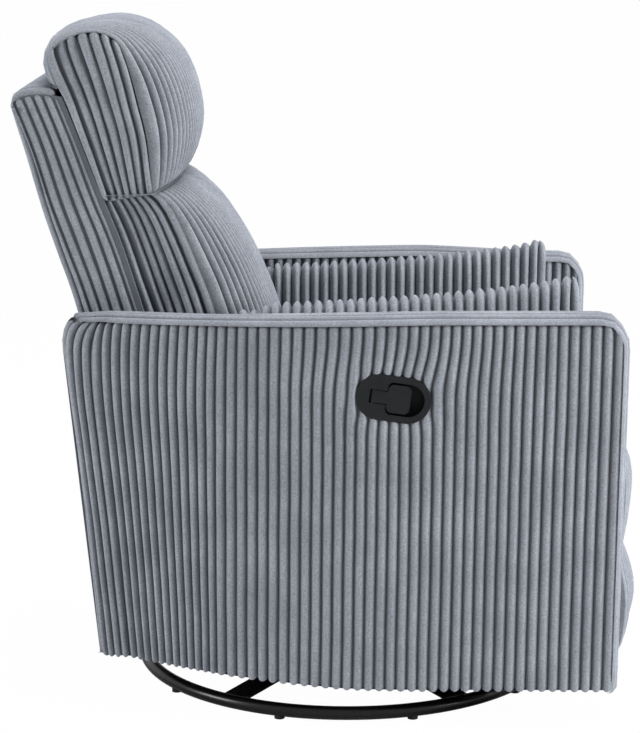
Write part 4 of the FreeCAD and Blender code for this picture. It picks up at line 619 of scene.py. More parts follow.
def make_arm(side, word):
    """Padded arm: ribbed outside and inside, with a gusset up its front and over its top."""
    sewn = Sewn()
    near = side < 0

    def lean(s, t):
        """Rib tops near the rear corner are pulled forward."""
        run = s * TOP_RUN
        place = smoothstep((run - 0.52) / 0.25) * (1 - smoothstep((run - 0.84) / 0.06))
        return -place * 0.016 / TOP_RUN * np.clip((t - 0.72) / 0.28, 0, 1) ** 2

    def gather(s, t):
        """Ribs near the bezel are pulled towards it, and lean forward above it."""
        shift = lean(s, t)
        if near:
            y = -ARM_FRONT_TOP + s * TOP_RUN
            z = WALL_Z[0] + WALL_HEIGHT * t
            reach = np.maximum(bezel_reach(y, z), 0)
            pull = np.exp(-(reach / 0.020) ** 2)
            shift = shift + (BEZEL_Y - y) * 0.07 * pull / TOP_RUN
            beside = np.exp(-((y - BEZEL_Y) / 0.13) ** 2)
            shift = shift - 0.011 * beside * smoothstep((z - 0.505) / 0.09) / TOP_RUN
        return shift

    def dive(s, t, points, lift, ribs):
        """Round the bezel the cloth dips behind its lip, and puffs up just outside it; the dip is
        darkened with painted shade.
        """
        if near:
            reach = bezel_reach(points[..., 1], points[..., 2])
            close = (points[..., 1] < BEZEL_SIDE_Y) & (points[..., 0] > BEZEL_SIDE_X)
            puff = BEZEL_PUFF * np.exp(-((reach - 0.012) / 0.010) ** 2)
            edge = np.clip((0.001 - reach) / 0.006, 0, 1)
            lift = lift + np.where(close, puff - BEZEL_DIP * (1 - np.sqrt(1 - edge ** 2)), 0)
            # painted shade: ribs flattened in the dip take more valley shade
            ribs = ribs * np.where(close, 1 - 0.7 * edge, 1)
        return lift, ribs

    def cup(points):
        """Cloth that the bezel's cup takes the place of."""
        inside = bezel_reach(points[..., 1], points[..., 2]) < BEZEL_CUT
        return inside & (points[..., 0] > BEZEL_SIDE_X)

    ribbed(sewn, outer_wall, TOP_RUN, WALL_HEIGHT, (1, 0, 0), seed=3 + side, rows=outer_rows(near),
           warp=gather, shape=dive, skip=cup if near else None)
    ribbed(sewn, inner_wall, length_of(INNER_LINE), WALL_HEIGHT, (-1, 0, 0), seed=11 + side)
    gusset(sewn, side)
    underside(sewn)
    arm = sewn.build(f"{word}_arm_padding", side, 0.0 if near else FAR_DROP)
    finish(arm, "carriage", 0.8, f"{word}_arm")


def gusset(sewn, side):
    """Strip between the two walls: up the front face, round the corner and back along the top."""
    def edge(wall, start, tops):
        """Edge of a wall: up its front seam and back along its top."""
        ups = np.linspace(0, 1, GUSSET_FRONT)[None, :]
        front = wall(np.full((1, GUSSET_FRONT), start), ups)[0]
        top = wall(tops[None, :], np.ones((1, GUSSET_TOP)))[0]
        return np.vstack([front, top[1:]])

    outer_edge = edge(outer_wall, 0.0, np.linspace(0, TOP_CORNER, GUSSET_TOP))
    inner_edge = edge(inner_wall, 1.0, np.linspace(1, 0, GUSSET_TOP))
    ends = outer_wall(np.linspace(TOP_CORNER, 1, 20)[None, :], np.ones((1, 20)))[0]

    def surface(s, t):
        """Straight across from edge to edge, and round the wall's corner at its rear end."""
        share = s[..., None]
        flat = along(outer_edge, t)
        flat = flat + (along(inner_edge, t) - flat) * share
        rear = along(ends, s) - (ends[0] + (ends[-1] - ends[0]) * share)
        return flat + rear * smoothstep((t - 0.93) / 0.07)[..., None]

    def crowned(s, t, points, lift, ribs):
        crown = GUSSET_CROWN * (1 - np.abs(2 * s - 1) ** 2.6)
        crown = crown * (1 - 0.3 * smoothstep((t - 0.95) / 0.05))
        return lift + crown, ribs

    ribbed(sewn, surface, GUSSET_WIDTH, length_of(outer_edge), (0, 0, 1), seed=21 + side,
           height=0.0042, shape=crowned, tuck=(SEAM_TUCK, 0.002), wobble=0.0003)


def underside(sewn):
    """Cloth under an arm, just inside its lower edge, painted in full valley shade."""
    low = np.full((1, SAMPLES), 0.012)
    outer = outer_wall(np.linspace(0, 1, SAMPLES)[None, :], low)[0]
    inner = inner_wall(np.linspace(1, 0, SAMPLES)[None, :], low)[0]
    middle = (outer + inner) / 2
    for edge in (outer, inner):
        inward = middle - edge
        inward /= np.maximum(np.linalg.norm(inward, axis=-1, keepdims=True), 1e-9)
        edge += inward * 0.008
    # painted shade: the whole sheet takes full valley shade
    sewn.add(np.stack([outer, (outer + inner) / 2, inner]), 1.0)


def finish(obj, body, fill, *nodes):
    """Give a padded piece the plush material, attach it to its body and hide the CAD nodes it
    stands for; fill is not used.
    """
    obj.data.materials.append(MATERIALS["plush"])
    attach(obj, body)
    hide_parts(*nodes)


# Back: slab, lumbar cushion and headrest. Outlines are (y, z) points in a plane across the chair.

SLAB_HALF = 0.224
SLAB_ROUND = 0.012
# how far the rear's edge reaches past the slab's side before it turns in
SLAB_RIM = 0.004
HEAD_HALF = 0.222
LUMBAR_HALF = 0.212
SLAB_REAR = ((0.335, 0.330), (0.409, 0.610), (0.437, 0.697), (0.459, 0.765), (0.481, 0.846),
             (0.502, 0.920))
SLAB_TOP = ((0.502, 0.920), (0.499, 0.940), (0.485, 0.950), (0.460, 0.954), (0.434, 0.951))
SLAB_SIDE_TOP = ((0.495, 0.917), (0.498, 0.930), (0.486, 0.939), (0.460, 0.943))
SLAB_FRONT = ((0.222, 0.330), (0.312, 0.628), (0.341, 0.720), (0.365, 0.781), (0.399, 0.872),
              (0.425, 0.938))
# how far a plain sheet lies behind the ribs of the slab's sides
SLAB_BACKING = 0.004
HEAD_BACK = ((0.431, 0.950), (0.441, 0.975), (0.445, 0.992), (0.442, 1.004))
HEAD_REAR = ((0.367, 0.781), (0.380, 0.817), (0.400, 0.872), (0.420, 0.926)) + HEAD_BACK
HEAD_FRONT = ((0.291, 0.792), (0.298, 0.871), (0.310, 0.925), (0.324, 0.980), (0.339, 1.018))
HEAD_SEAM = ((0.367, 0.781), (0.346, 0.783), (0.324, 0.786), (0.291, 0.792))
HEAD_TOP = ((0.442, 1.004), (0.429, 1.019), (0.407, 1.031), (0.383, 1.037), (0.361, 1.034),
            (0.339, 1.018))
HEAD_CROWN = ((0.460, 0.952), (0.470, 0.980), (0.464, 1.006), (0.446, 1.026), (0.414, 1.038),
              (0.380, 1.043), (0.345, 1.043), (0.303, 1.031), (0.264, 1.000), (0.239, 0.954),
              (0.228, 0.900), (0.231, 0.862), (0.242, 0.826), (0.258, 0.802))
LUMBAR_REAR = ((0.266, 0.486), (0.312, 0.628), (0.341, 0.720), (0.365, 0.784))
LUMBAR_FRONT = ((0.165, 0.486), (0.185, 0.560), (0.206, 0.632), (0.221, 0.672), (0.245, 0.731),
                (0.268, 0.776), (0.293, 0.796))
LUMBAR_CROWN = ((0.103, 0.478), (0.099, 0.520), (0.115, 0.588), (0.149, 0.674), (0.187, 0.738),
                (0.213, 0.768), (0.240, 0.790), (0.262, 0.803))


def side_line(points, x):
    """Curve in a plane across the chair, as a function of a share."""
    def at(t):
        flat = curve(points, t)
        return np.concatenate([np.full(flat.shape[:-1] + (1,), x), flat], -1)
    return at


def crown_panel(side_points, crown_points, half):
    """Front panel of a cushion: s runs across the chair, t along the profile."""
    def surface(s, t):
        x = np.clip(2 * s - 1, -1, 1)
        share = ((1 - np.abs(x) ** 2.6) ** 0.62)[..., None]
        flat = curve(side_points, t) * (1 - share) + curve(crown_points, t) * share
        return np.concatenate([(x * half)[..., None], flat], -1)
    return surface


def side_panel(rear, front, top, half, bulge, bottom=None):
    """Side panel of a cushion: s runs from the rear edge to the front seam, t up."""
    low_edge = side_line(bottom or (rear[0], front[0]), half)
    high_edge = side_line(top, half)
    patch = coons(low_edge, high_edge, side_line(rear, half), side_line(front, half))

    def surface(s, t):
        points = patch(s, t)
        full = np.sin(math.pi * np.clip(s, 0, 1)) ** 0.7
        points[..., 0] += bulge * full * np.sin(math.pi * t) ** 0.5
        return points
    return surface


def make_headrest():
    """Headrest that folds over the slab's top, with its own side panels."""
    sewn = Sewn()
    profile = HEAD_BACK + HEAD_TOP[1:] + HEAD_FRONT[-2::-1]
    panel = crown_panel(profile, HEAD_CROWN, HEAD_HALF)
    form = swollen(panel, HEAD_SEAM[::-1] + HEAD_REAR[1:4], HEAD_HALF, HEAD_START)
    ribbed(sewn, panel, 2 * HEAD_HALF + 0.10, 0.46, (0, -1, 1), seed=31, form=form)
    close_down(sewn, panel, 1.0, (0.362, 0.790))
    close_down(sewn, panel, 0.0, (0.430, 0.951))
    for side in SIDES:
        part = Sewn()
        panel = side_panel(HEAD_REAR, HEAD_FRONT, HEAD_TOP, HEAD_HALF, 0.010, HEAD_SEAM)
        ribbed(part, panel, 0.115, 0.24, (1, 0, 0), seed=35 + side, form=form, cap=SIDE_CAP)
        take(sewn, part, side)
    obj = sewn.build("headrest_padding")
    finish(obj, "back", 0.9, "headrest_cushion")


def close_down(sewn, panel, t_end, inner):
    """Hidden underside of a cushion, from an edge of its front panel back to a line on the slab."""
    s = np.linspace(0, 1, SAMPLES)[None, :]
    edge = panel(s, np.full((1, SAMPLES), t_end))[0]
    back = edge.copy()
    back[:, 1:] = inner
    # painted shade: the cushion's underside is darkened
    add_sheet(sewn, edge, back, 0.8)


def add_sheet(sewn, edge, back, depth):
    """Plain hidden sheet from one line of points to another, with its level of painted shade."""
    shares = np.linspace(0, 1, 4)[:, None, None]
    sewn.add(edge[None] * (1 - shares) + back[None] * shares, depth)


def take(sewn, part, side):
    """Add a part's grids to another mesh, mirrored where side is -1."""
    for points, faces, depth in zip(part.points, part.faces, part.depth):
        faces = faces - faces.min() + sewn.count
        sewn.points.append(points * np.array([side, 1, 1]))
        sewn.faces.append(faces[:, ::-1] if side < 0 else faces)
        sewn.depth.append(depth)
        sewn.count += len(points)


def make_lumbar():
    """Lumbar cushion below the headrest."""
    sewn = Sewn()
    panel = crown_panel(LUMBAR_FRONT, LUMBAR_CROWN, LUMBAR_HALF)
    form = swollen(panel, LUMBAR_REAR[::-1], LUMBAR_HALF)
    ribbed(sewn, panel, 2 * LUMBAR_HALF + 0.08, 0.35, (0, -1, 0.5), seed=41, form=form)
    close_down(sewn, panel, 1.0, (0.357, 0.782))
    close_down(sewn, panel, 0.0, (0.262, 0.486))
    for side in SIDES:
        part = Sewn()
        top = (LUMBAR_REAR[-1], (0.327, 0.789), LUMBAR_FRONT[-1])
        panel = side_panel(LUMBAR_REAR, LUMBAR_FRONT, top, LUMBAR_HALF, 0.006)
        ribbed(part, panel, 0.110, 0.30, (1, 0, 0), seed=45 + side, form=form, cap=SIDE_CAP)
        take(sewn, part, side)
    obj = sewn.build("lumbar_padding")
    finish(obj, "back", 0.9, "lumbar_cushion")


def make_slab():
    """Back slab: ribbed rear, top and sides, flat where the sides meet the cushions, with painted
    shade there.
    """
    sewn = Sewn()

    def back_face(s, t):
        """Rear and top in one: its sides turn in over a small round."""
        flat = curve(SLAB_REAR + SLAB_TOP[1:], t)
        x = (2 * s - 1) * (SLAB_HALF + SLAB_RIM)
        straight = SLAB_HALF - SLAB_ROUND
        turn = np.clip((np.abs(x) - straight) / (SLAB_ROUND + SLAB_RIM), 0, 1) * math.pi / 2
        x = np.where(turn > 0, np.sign(x) * (straight + SLAB_ROUND * np.sin(turn)), x)
        inward = SLAB_ROUND * (1 - np.cos(turn))
        up = smoothstep((flat[..., 1] - 0.90) / 0.05)
        flat[..., 0] -= inward * (1 - up)
        flat[..., 1] -= inward * up
        return np.concatenate([x[..., None], flat], -1)

    ribbed(sewn, back_face, 2 * SLAB_HALF, 0.72, (0, 1, 0), seed=51, height=0.0060)
    ts = np.linspace(0, 1, 30)
    edges = [side_line(SLAB_FRONT, side * (SLAB_HALF - SLAB_RIM))(ts) for side in SIDES]
    # painted shade: the sheet between the slab's side edges is darkened
    sewn.add(np.stack(edges, 1), 0.8)
    for side in SIDES:
        part = Sewn()
        rear = tuple((y - SLAB_ROUND, z) for y, z in SLAB_REAR[:-1]) + (SLAB_SIDE_TOP[0],)
        top = SLAB_SIDE_TOP + (SLAB_FRONT[-1],)
        panel = side_panel(rear, SLAB_FRONT, top, SLAB_HALF, 0.0)

        def ribs_then_flat(s, t, points, lift, ribs):
            # painted shade: the flat band by the cushions is sunk and darkened as a recess in shade
            flat = smoothstep((s - 0.86) / 0.08)
            return lift * (1 - flat) - 0.007 * flat, ribs * (1 - flat) + 0.3 * flat

        ribbed(part, panel, 0.105, 0.62, (1, 0, 0), seed=55 + side, shape=ribs_then_flat)
        s, t = np.meshgrid(np.linspace(0, 1, 8), np.linspace(0, 1, 40))
        # painted shade: the plain sheet behind the side ribs is darkened
        part.add(panel(s, t) - np.array([SLAB_BACKING, 0, 0]), 0.9)
        take(sewn, part, side)
    obj = sewn.build("back_padding")
    finish(obj, "back", 0.7, "back_shell")


# Seat, arm pads, footrest, and the panels at the front and rear

SEAT_HALF = 0.279
SEAT_PROFILE = ((0.150, 0.412), (0.156, 0.440), (0.146, 0.468), (0.060, 0.480), (-0.120, 0.485),
                (-0.300, 0.482), (-0.395, 0.472), (-0.422, 0.452), (-0.424, 0.428), (-0.414, 0.407),
                (-0.390, 0.405))
SEAT_SIDE = ((0.146, 0.414), (0.150, 0.436), (0.142, 0.460), (0.060, 0.470), (-0.120, 0.473),
             (-0.300, 0.470), (-0.388, 0.462), (-0.412, 0.446), (-0.414, 0.426), (-0.406, 0.409),
             (-0.388, 0.406))


def make_seat():
    """Seat cushion: ribs run from the back over the front roll."""
    sewn = Sewn()

    def panel(s, t):
        x = np.clip(2 * s - 1, -1, 1)
        share = ((1 - np.abs(x) ** 4) ** 0.5)[..., None]
        flat = curve(SEAT_SIDE, t) * (1 - share) + curve(SEAT_PROFILE, t) * share
        return np.concatenate([(x * SEAT_HALF)[..., None], flat], -1)

    form = swollen(panel, (), SEAT_HALF)
    ribbed(sewn, panel, 2 * SEAT_HALF, 0.75, (0, 0, 1), seed=61, form=form)
    obj = sewn.build("seat_padding")
    finish(obj, "carriage", 0.9, "seat_cushion")


# a pad's ridge: its heights along the chair
PAD_STATIONS = (0.140, 0.120, 0.037, -0.061, -0.143, -0.205, -0.254, -0.287, -0.316, -0.334, -0.347)
PAD_RIDGES = (0.618, 0.628, 0.632, 0.638, 0.644, 0.651, 0.656, 0.661, 0.667, 0.672, 0.648)
# how far each side's ridge stands above those heights, how far it lies back, and its longer rear
PAD_SHIFT = {-1: (0.003, -0.006, 0.030), 1: (-0.016, 0.001, 0.0)}
PAD_FOOT = 0.484
PAD_INNER = 0.214
PAD_OUTER = 0.2835
# share of a pad's length over which each end rounds off, and how wide it still is at its tip
PAD_END = 0.11
PAD_TIP = 0.12


def make_pad(side, word):
    """Pillow on the inner side of an arm: ribs stand up and go over its ridge."""
    sewn = Sewn()
    middle = (PAD_INNER + PAD_OUTER) / 2
    half = (PAD_OUTER - PAD_INNER) / 2
    lift, back, longer = PAD_SHIFT[side]
    start = PAD_STATIONS[0] + longer
    length = start - PAD_STATIONS[-1]

    def section(s, t):
        """A point's place in plan, the height of the foot there, and how far up the point is."""
        end = np.clip(np.minimum(s, 1 - s) / PAD_END, 0, 1)
        wide = PAD_TIP + (1 - PAD_TIP) * np.sqrt(1 - (1 - end) ** 2)
        angle = math.pi * (t - 0.5)
        out = np.sign(np.sin(angle)) * np.abs(np.sin(angle)) ** 0.55
        x = middle + 0.002 + half * wide * out
        return x, start - s * length, PAD_FOOT + 0.016 * (1 - end) ** 2, np.cos(angle)

    def panel(s, t):
        x, y, foot, up = section(s, t)
        ridge = np.interp(-y, [-a for a in PAD_STATIONS], PAD_RIDGES) + lift
        z = foot + (ridge - foot) * np.sign(up) * np.abs(up) ** 0.50
        return np.stack([x - 0.006 * up, y + back, z], -1)

    def lower(s, t):
        x, y, foot, up = section(s, t)
        return np.stack([x, y + back, foot - 0.006 * up], -1)

    ribbed(sewn, panel, length, 0.36, (0, 0, 1), seed=71 + side, tuck=(0.001, 0.001), height=0.0095)
    s, t = np.meshgrid(np.linspace(0, 1, 80), np.linspace(0, 1, 12))
    # painted shade: the pad's underside is darkened
    sewn.add(lower(s, t)[:, ::-1], 0.5)
    obj = sewn.build(f"{word}_pad_padding", side)
    finish(obj, "carriage", 0.7, f"{word}_arm_pad")


FOOT_PROFILE = ((-0.380, 0.392), (-0.398, 0.399), (-0.418, 0.400), (-0.436, 0.390), (-0.445, 0.365),
                (-0.446, 0.335), (-0.442, 0.290), (-0.434, 0.252), (-0.441, 0.222), (-0.452, 0.192),
                (-0.455, 0.160), (-0.448, 0.120), (-0.430, 0.093), (-0.402, 0.089), (-0.380, 0.098))
FOOT_HALF = 0.275
FOOT_REAR = -0.380
# towards the sides the pad's front draws back to this line, down to this share of its depth
FOOT_MIDDLE = -0.402
FOOT_SIDE_DEPTH = 0.45
# share of the profile at which the seam between the two rolls runs
FOOT_SEAM = 0.48


def make_footrest():
    """Footrest pad: two rolls across the chair, ribs standing up."""
    sewn = Sewn()

    def panel(s, t):
        x = np.clip(2 * s - 1, -1, 1)
        share = ((1 - np.abs(x) ** 3) ** 0.7)[..., None]
        flat = curve(FOOT_PROFILE, t)
        edge = flat.copy()
        drawn = FOOT_MIDDLE + (flat[..., 0] - FOOT_MIDDLE) * FOOT_SIDE_DEPTH
        edge[..., 0] = np.maximum(flat[..., 0], drawn)
        flat = edge * (1 - share) + flat * share
        return np.concatenate([(x * FOOT_HALF)[..., None], flat], -1)

    form = swollen(panel, (), FOOT_HALF)
    ribbed(sewn, panel, 2 * FOOT_HALF, 0.45, (0, -1, 0), seed=81, form=form, seams=(FOOT_SEAM,),
           cap=FOOT_CAP)
    for s_end in (0.0, 1.0):
        edge = panel(np.full((1, SAMPLES), s_end), np.linspace(0, 1, SAMPLES)[None, :])[0]
        back = edge.copy()
        back[:, 1] = FOOT_REAR
        # painted shade: the pad's end sides are darkened
        add_sheet(sewn, edge, back, 0.4)
    obj = sewn.build("footrest_padding")
    finish(obj, "footrest", 0.8, "footrest_pad")


RAIL_Y = -0.3655
RAIL_HALF = 0.2465
RAIL_Z = (0.342, 0.408)
RAIL_HEIGHT = RAIL_Z[1] - RAIL_Z[0]


def make_rail():
    """Upholstery over the board below the seat's front, in view when the footrest is out."""
    sewn = Sewn()

    def panel(s, t):
        y = RAIL_Y + 0.006 * np.clip(t - 0.9, 0, 1) / 0.1
        return np.stack([(2 * s - 1) * RAIL_HALF, y + 0 * s, RAIL_Z[0] + RAIL_HEIGHT * t], -1)

    ribbed(sewn, panel, 2 * RAIL_HALF, RAIL_HEIGHT, (0, -1, 0), seed=97, height=0.004,
           tuck=(0.002, 0))
    obj = sewn.build("front_rail_padding")
    obj.data.materials.append(MATERIALS["plush"])
    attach(obj, "carriage")


# flap: its lower edge on the rear panel and its upper edge on the back, each (y, z), and its sag
FLAP_HALF = 0.222
FLAP_LOW = (0.373, 0.306)
FLAP_HIGH = (0.328, 0.334)
FLAP_SAG = 0.006


def make_flap():
    """Loose cloth over the gap between the rear panel and the back."""
    sewn = Sewn()

    def panel(s, t):
        x = (2 * s - 1) * FLAP_HALF
        y = FLAP_LOW[0] + (FLAP_HIGH[0] - FLAP_LOW[0]) * t
        z = FLAP_LOW[1] + (FLAP_HIGH[1] - FLAP_LOW[1]) * t - FLAP_SAG * np.sin(math.pi * t)
        return np.stack([x, y, z], -1)

    ribbed(sewn, panel, 2 * FLAP_HALF, 0.06, (0, 1, 1), seed=95, rows=np.linspace(0, 1, 25),
           height=0.004, tuck=(0, 0))
    obj = sewn.build("rear_flap")
    obj.data.materials.append(MATERIALS["plush"])
    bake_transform(obj)


# rear panel: the (y, z) of its lower edge, how far it rises and leans back, and its thickness
SKIRT_HALF = ARM_REAR_INNER - 0.002
SKIRT_LOW = (0.368, 0.079)
SKIRT_RISE = 0.240
SKIRT_LEAN = 0.032
SKIRT_THICK = 0.022


def make_skirt():
    """Ribbed panel that closes the rear below the back."""
    sewn = Sewn()

    def panel(s, t):
        y = SKIRT_LOW[0] + SKIRT_LEAN * t
        return np.stack([(2 * s - 1) * SKIRT_HALF, y + 0 * s, SKIRT_LOW[1] + SKIRT_RISE * t], -1)

    ribbed(sewn, panel, 2 * SKIRT_HALF, SKIRT_RISE, (0, 1, 0), seed=91)
    s, t = np.meshgrid(np.linspace(0, 1, 40), np.linspace(0, 1, 6))
    back = panel(s, t)
    back[..., 1] -= SKIRT_THICK
    # painted shade: the panel's back is darkened
    sewn.add(back[:, ::-1], 0.6)
    obj = sewn.build("skirt_padding")
    finish(obj, "carriage", 0.5, "rear_skirt")


# Materials


def new_material(name):
    """Material with its node tree and shader."""
    material = bpy.data.materials.new(name)
    material.use_nodes = True
    tree = material.node_tree
    return material, tree, tree.nodes["Principled BSDF"]


def feed(tree, node, **inputs):
    """Give inputs, named with _ for a space, the sockets or values they take."""
    for name, value in inputs.items():
        put(tree, node.inputs[name.replace("_", " ")], value)
    return node


def put(tree, socket, value):
    """Link an input to a socket, or set its value."""
    if isinstance(value, bpy.types.NodeSocket):
        tree.links.new(value, socket)
    else:
        socket.default_value = value


def add_node(tree, kind, **inputs):
    """New node with its inputs."""
    return feed(tree, tree.nodes.new("ShaderNode" + kind), **inputs)


def combine(tree, operation, a, b):
    """Product, power or the like of two values."""
    node = tree.nodes.new("ShaderNodeMath")
    node.operation = operation
    put(tree, node.inputs[0], a)
    put(tree, node.inputs[1], b)
    return node.outputs[0]


def noise(tree, scale, detail=4, rough=0.5, stretch=(1, 1, 1)):
    """Noise in the object's own space."""
    place = add_node(tree, "TexCoord").outputs["Object"]
    mapping = add_node(tree, "Mapping", Vector=place, Scale=stretch)
    texture = add_node(tree, "TexNoise", Vector=mapping.outputs["Vector"], Scale=scale,
                       Detail=detail, Roughness=rough)
    return texture.outputs["Fac"]


def ramp(tree, value, low, high, start=0.3, end=0.7):
    """Two colours over a value."""
    node = add_node(tree, "ValToRGB", Fac=value)
    for element, place, colour in zip(node.color_ramp.elements, (start, end), (low, high)):
        element.position = place
        element.color = (*colour, 1)
    return node.outputs["Color"]


def mix(tree, share, a, b, kind="MIX"):
    """Mix of two colours, which are inputs 6 and 7 of the node; output 2 is the mixed one."""
    node = tree.nodes.new("ShaderNodeMix")
    node.data_type = "RGBA"
    node.blend_type = kind
    for index, value in ((0, share), (6, a), (7, b)):
        put(tree, node.inputs[index], value)
    return node.outputs[2]


def bump(tree, shader, height, strength, distance):
    """Fine relief."""
    node = add_node(tree, "Bump", Strength=strength, Distance=distance, Height=height)
    feed(tree, shader, Normal=node.outputs["Normal"])


def spread(tree, value, low, high):
    """A value stretched between two numbers."""
    return add_node(tree, "MapRange", Value=value, To_Min=low, To_Max=high).outputs["Result"]


PLUSH_LIGHT = (0.270, 0.288, 0.322)
PLUSH_DARK = (0.205, 0.220, 0.250)
# painted shade: the colour that deep valleys and shaded sheets are darkened towards
PLUSH_VALLEY_SHADE = (0.078, 0.085, 0.100)


def plush():
    """Grey-blue velvety corduroy: brushed patches, a soft nap, and painted shade in the valleys."""
    material, tree, shader = new_material("plush")
    patches = ramp(tree, noise(tree, 14, 5, 0.6), PLUSH_DARK, PLUSH_LIGHT, 0.35, 0.68)
    nap = noise(tree, 330, 4, 0.7)
    flecks = ramp(tree, nap, (0.70, 0.70, 0.70), (1.24, 1.24, 1.24), 0.32, 0.68)
    colour = mix(tree, 1.0, patches, flecks, "MULTIPLY")
    # painted shade: each point's stored level of valley shade darkens the colour towards the valley
    # shade colour
    depth = add_node(tree, "Attribute")
    depth.attribute_name = "painted_valley_shade"
    shade = combine(tree, "POWER", depth.outputs["Fac"], 1.35)
    feed(tree, shader, Base_Color=mix(tree, shade, colour, (*PLUSH_VALLEY_SHADE, 1)),
         Roughness=spread(tree, nap, 0.78, 0.95), Sheen_Weight=0.35, Sheen_Roughness=0.45,
         Sheen_Tint=(0.80, 0.86, 1.0, 1), Specular_IOR_Level=0.2)
    bump(tree, shader, nap, 0.55, 0.0012)
    return material


def painted(name, low, high, rough, coat, grain, strength):
    """Painted or moulded surface with slight wear; grain is the scale of its fine relief."""
    material, tree, shader = new_material(name)
    colour = ramp(tree, noise(tree, 30, 5, 0.65), low, high, 0.35, 0.75)
    relief = noise(tree, grain, 3, 0.5)
    feed(tree, shader, Base_Color=colour, Roughness=spread(tree, relief, *rough),
         Coat_Weight=coat, Coat_Roughness=0.12, Specular_IOR_Level=0.20)
    bump(tree, shader, relief, strength, 0.0004)
    return material


def metal(name, low, high, rough, grain):
    """Bare or plated steel."""
    material, tree, shader = new_material(name)
    colour = ramp(tree, noise(tree, 60, 6, 0.6), low, high)
    relief = noise(tree, grain, 4, 0.6)
    feed(tree, shader, Base_Color=colour, Metallic=1.0, Roughness=spread(tree, relief, *rough))
    bump(tree, shader, relief, 0.08, 0.0003)
    return material


def wood():
    """Pale plywood with a long grain."""
    material, tree, shader = new_material("board")
    grain = noise(tree, 40, 8, 0.6, (0.15, 1, 1))
    colour = ramp(tree, grain, (0.36, 0.24, 0.13), (0.62, 0.47, 0.30))
    feed(tree, shader, Base_Color=colour, Roughness=spread(tree, grain, 0.55, 0.8))
    bump(tree, shader, grain, 0.2, 0.0006)
    return material


MATERIALS = {
    "plush": plush(),
    "black_metal": painted("black_metal", (0.0015, 0.0015, 0.002), (0.003, 0.003, 0.004),
                           (0.24, 0.34), 0.06, 260, 0.04),
    "frame_steel": metal("frame_steel", (0.10, 0.10, 0.105), (0.16, 0.16, 0.165),
                         (0.38, 0.55), 180),
    "bright_steel": metal("bright_steel", (0.50, 0.50, 0.51), (0.64, 0.64, 0.65),
                          (0.22, 0.36), 240),
    "board": wood(),
    "handle_plastic": painted("handle_plastic", (0.004, 0.005, 0.006), (0.008, 0.009, 0.011),
                              (0.48, 0.62), 0.0, 900, 0.30),
    "black_plastic": painted("black_plastic", (0.010, 0.010, 0.011), (0.018, 0.018, 0.020),
                             (0.40, 0.55), 0.0, 700, 0.25),
    "cable_jacket": painted("cable_jacket", (0.010, 0.010, 0.011), (0.016, 0.016, 0.018),
                            (0.50, 0.66), 0.0, 800, 0.20),
}


def dress_cad():
    """Give every CAD node that stays in view the procedural material of its slot."""
    slots = {entry["node"]: entry["material_slot"] for entry in frame["record"]["subparts"]}
    for name, obj in frame["nodes"].items():
        slot = slots.get(name)
        if slot in MATERIALS:
            obj.data.materials.clear()
            obj.data.materials.append(MATERIALS[slot])


# Stage, light and camera

# how far the floor reaches, and the share of the camera's view of it that is plain white
FLOOR_REACH = 80
FLOOR_GLOW = 0.985


def make_world(strength_seen, strength_lit):
    """White world whose look to the camera, glass and gloss differs from the light it gives."""
    world = bpy.data.worlds.new("studio")
    world.use_nodes = True
    tree = world.node_tree
    path = add_node(tree, "LightPath").outputs
    seen = combine(tree, "MAXIMUM", path["Is Camera Ray"], path["Is Glossy Ray"])
    seen = combine(tree, "MAXIMUM", seen, path["Is Transmission Ray"])
    feed(tree, tree.nodes["Background"], Color=(1, 1, 1, 1),
         Strength=spread(tree, seen, strength_lit, strength_seen))
    bpy.context.scene.world = world


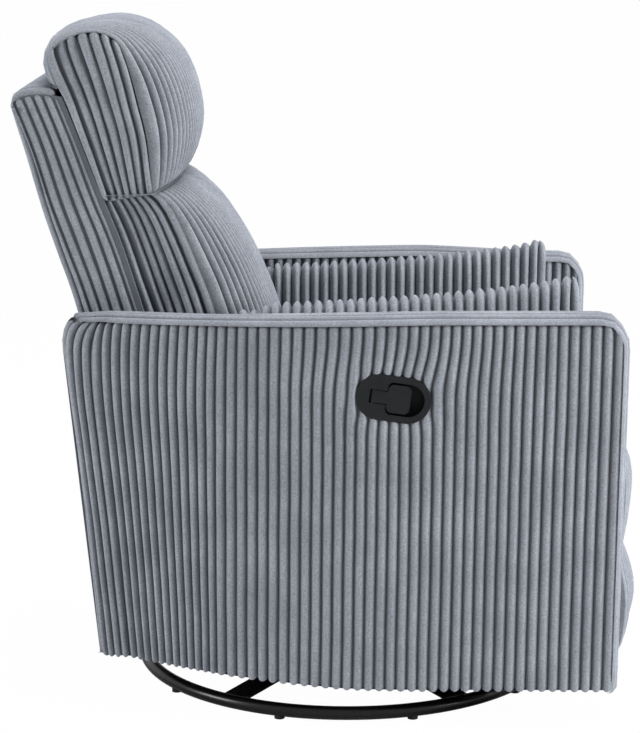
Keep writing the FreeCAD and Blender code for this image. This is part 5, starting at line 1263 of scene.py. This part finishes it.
def make_floor():
    """Plain pale floor that keeps the object's shadow and is nearly white to the camera."""
    mesh = bpy.data.meshes.new("floor")
    far = FLOOR_REACH
    corners = [(-far, -far, 0), (far, -far, 0), (far, far, 0), (-far, far, 0)]
    mesh.from_pydata(corners, [], [(0, 1, 2, 3)])
    floor = add_object("floor", mesh)
    material, tree, shader = new_material("floor")
    feed(tree, shader, Base_Color=(0.86, 0.86, 0.86, 1), Roughness=0.9)
    glow = add_node(tree, "Emission", Color=(1, 1, 1, 1))
    camera_ray = add_node(tree, "LightPath").outputs["Is Camera Ray"]
    blend = add_node(tree, "MixShader", Fac=combine(tree, "MULTIPLY", camera_ray, FLOOR_GLOW))
    put(tree, blend.inputs[1], shader.outputs[0])
    put(tree, blend.inputs[2], glow.outputs[0])
    feed(tree, tree.nodes["Material Output"], Surface=blend.outputs[0])
    floor.data.materials.append(material)


def add_area(name, place, target, size, power):
    """Soft square light aimed at a point."""
    data = bpy.data.lights.new(name, "AREA")
    data.size = size
    data.energy = power
    light = add_object(name, data)
    light.location = place
    light.rotation_euler = (Vector(target) - Vector(place)).to_track_quat("-Z", "Y").to_euler()


def make_light():
    """Soft studio light from the chair's front, from behind it and from above."""
    make_world(1.0, 0.22)
    middle = (0, 0, 0.5)
    add_area("front", (-1.25, -2.8, 1.4), middle, 1.4, 112)
    add_area("rear", (-1.1, 3.6, 1.3), middle, 1.3, 108)
    add_area("top", (0.2, -0.5, 3.6), middle, 2.2, 98)


CAMERA_PLACE = (-3.704, -0.0110, 1.247)
CAMERA_PITCH = math.radians(11.645)
CAMERA_YAW = math.radians(0.376)
FOCAL_PIXELS = 2338
IMAGE_HEIGHT = 733


def make_camera():
    """Camera at the photograph's place, above the headrest, looking along +X and a little down."""
    data = bpy.data.cameras.new("camera")
    data.sensor_width = 36
    data.lens = FOCAL_PIXELS * data.sensor_width / IMAGE_HEIGHT
    camera = add_object("camera", data)
    camera.location = CAMERA_PLACE
    camera.rotation_euler = (math.pi / 2 - CAMERA_PITCH, 0, -math.pi / 2 + CAMERA_YAW)
    bpy.context.scene.camera = camera


for arm_side, arm_word in ((-1, "right"), (1, "left")):
    make_arm(arm_side, arm_word)
    make_pad(arm_side, arm_word)
make_headrest()
make_lumbar()
make_slab()
make_seat()
make_footrest()
make_skirt()
make_flap()
make_rail()
dress_cad()
make_floor()
make_light()
make_camera()
bpy.context.scene.view_settings.view_transform = "Standard"

bpy.context.view_layer.update()
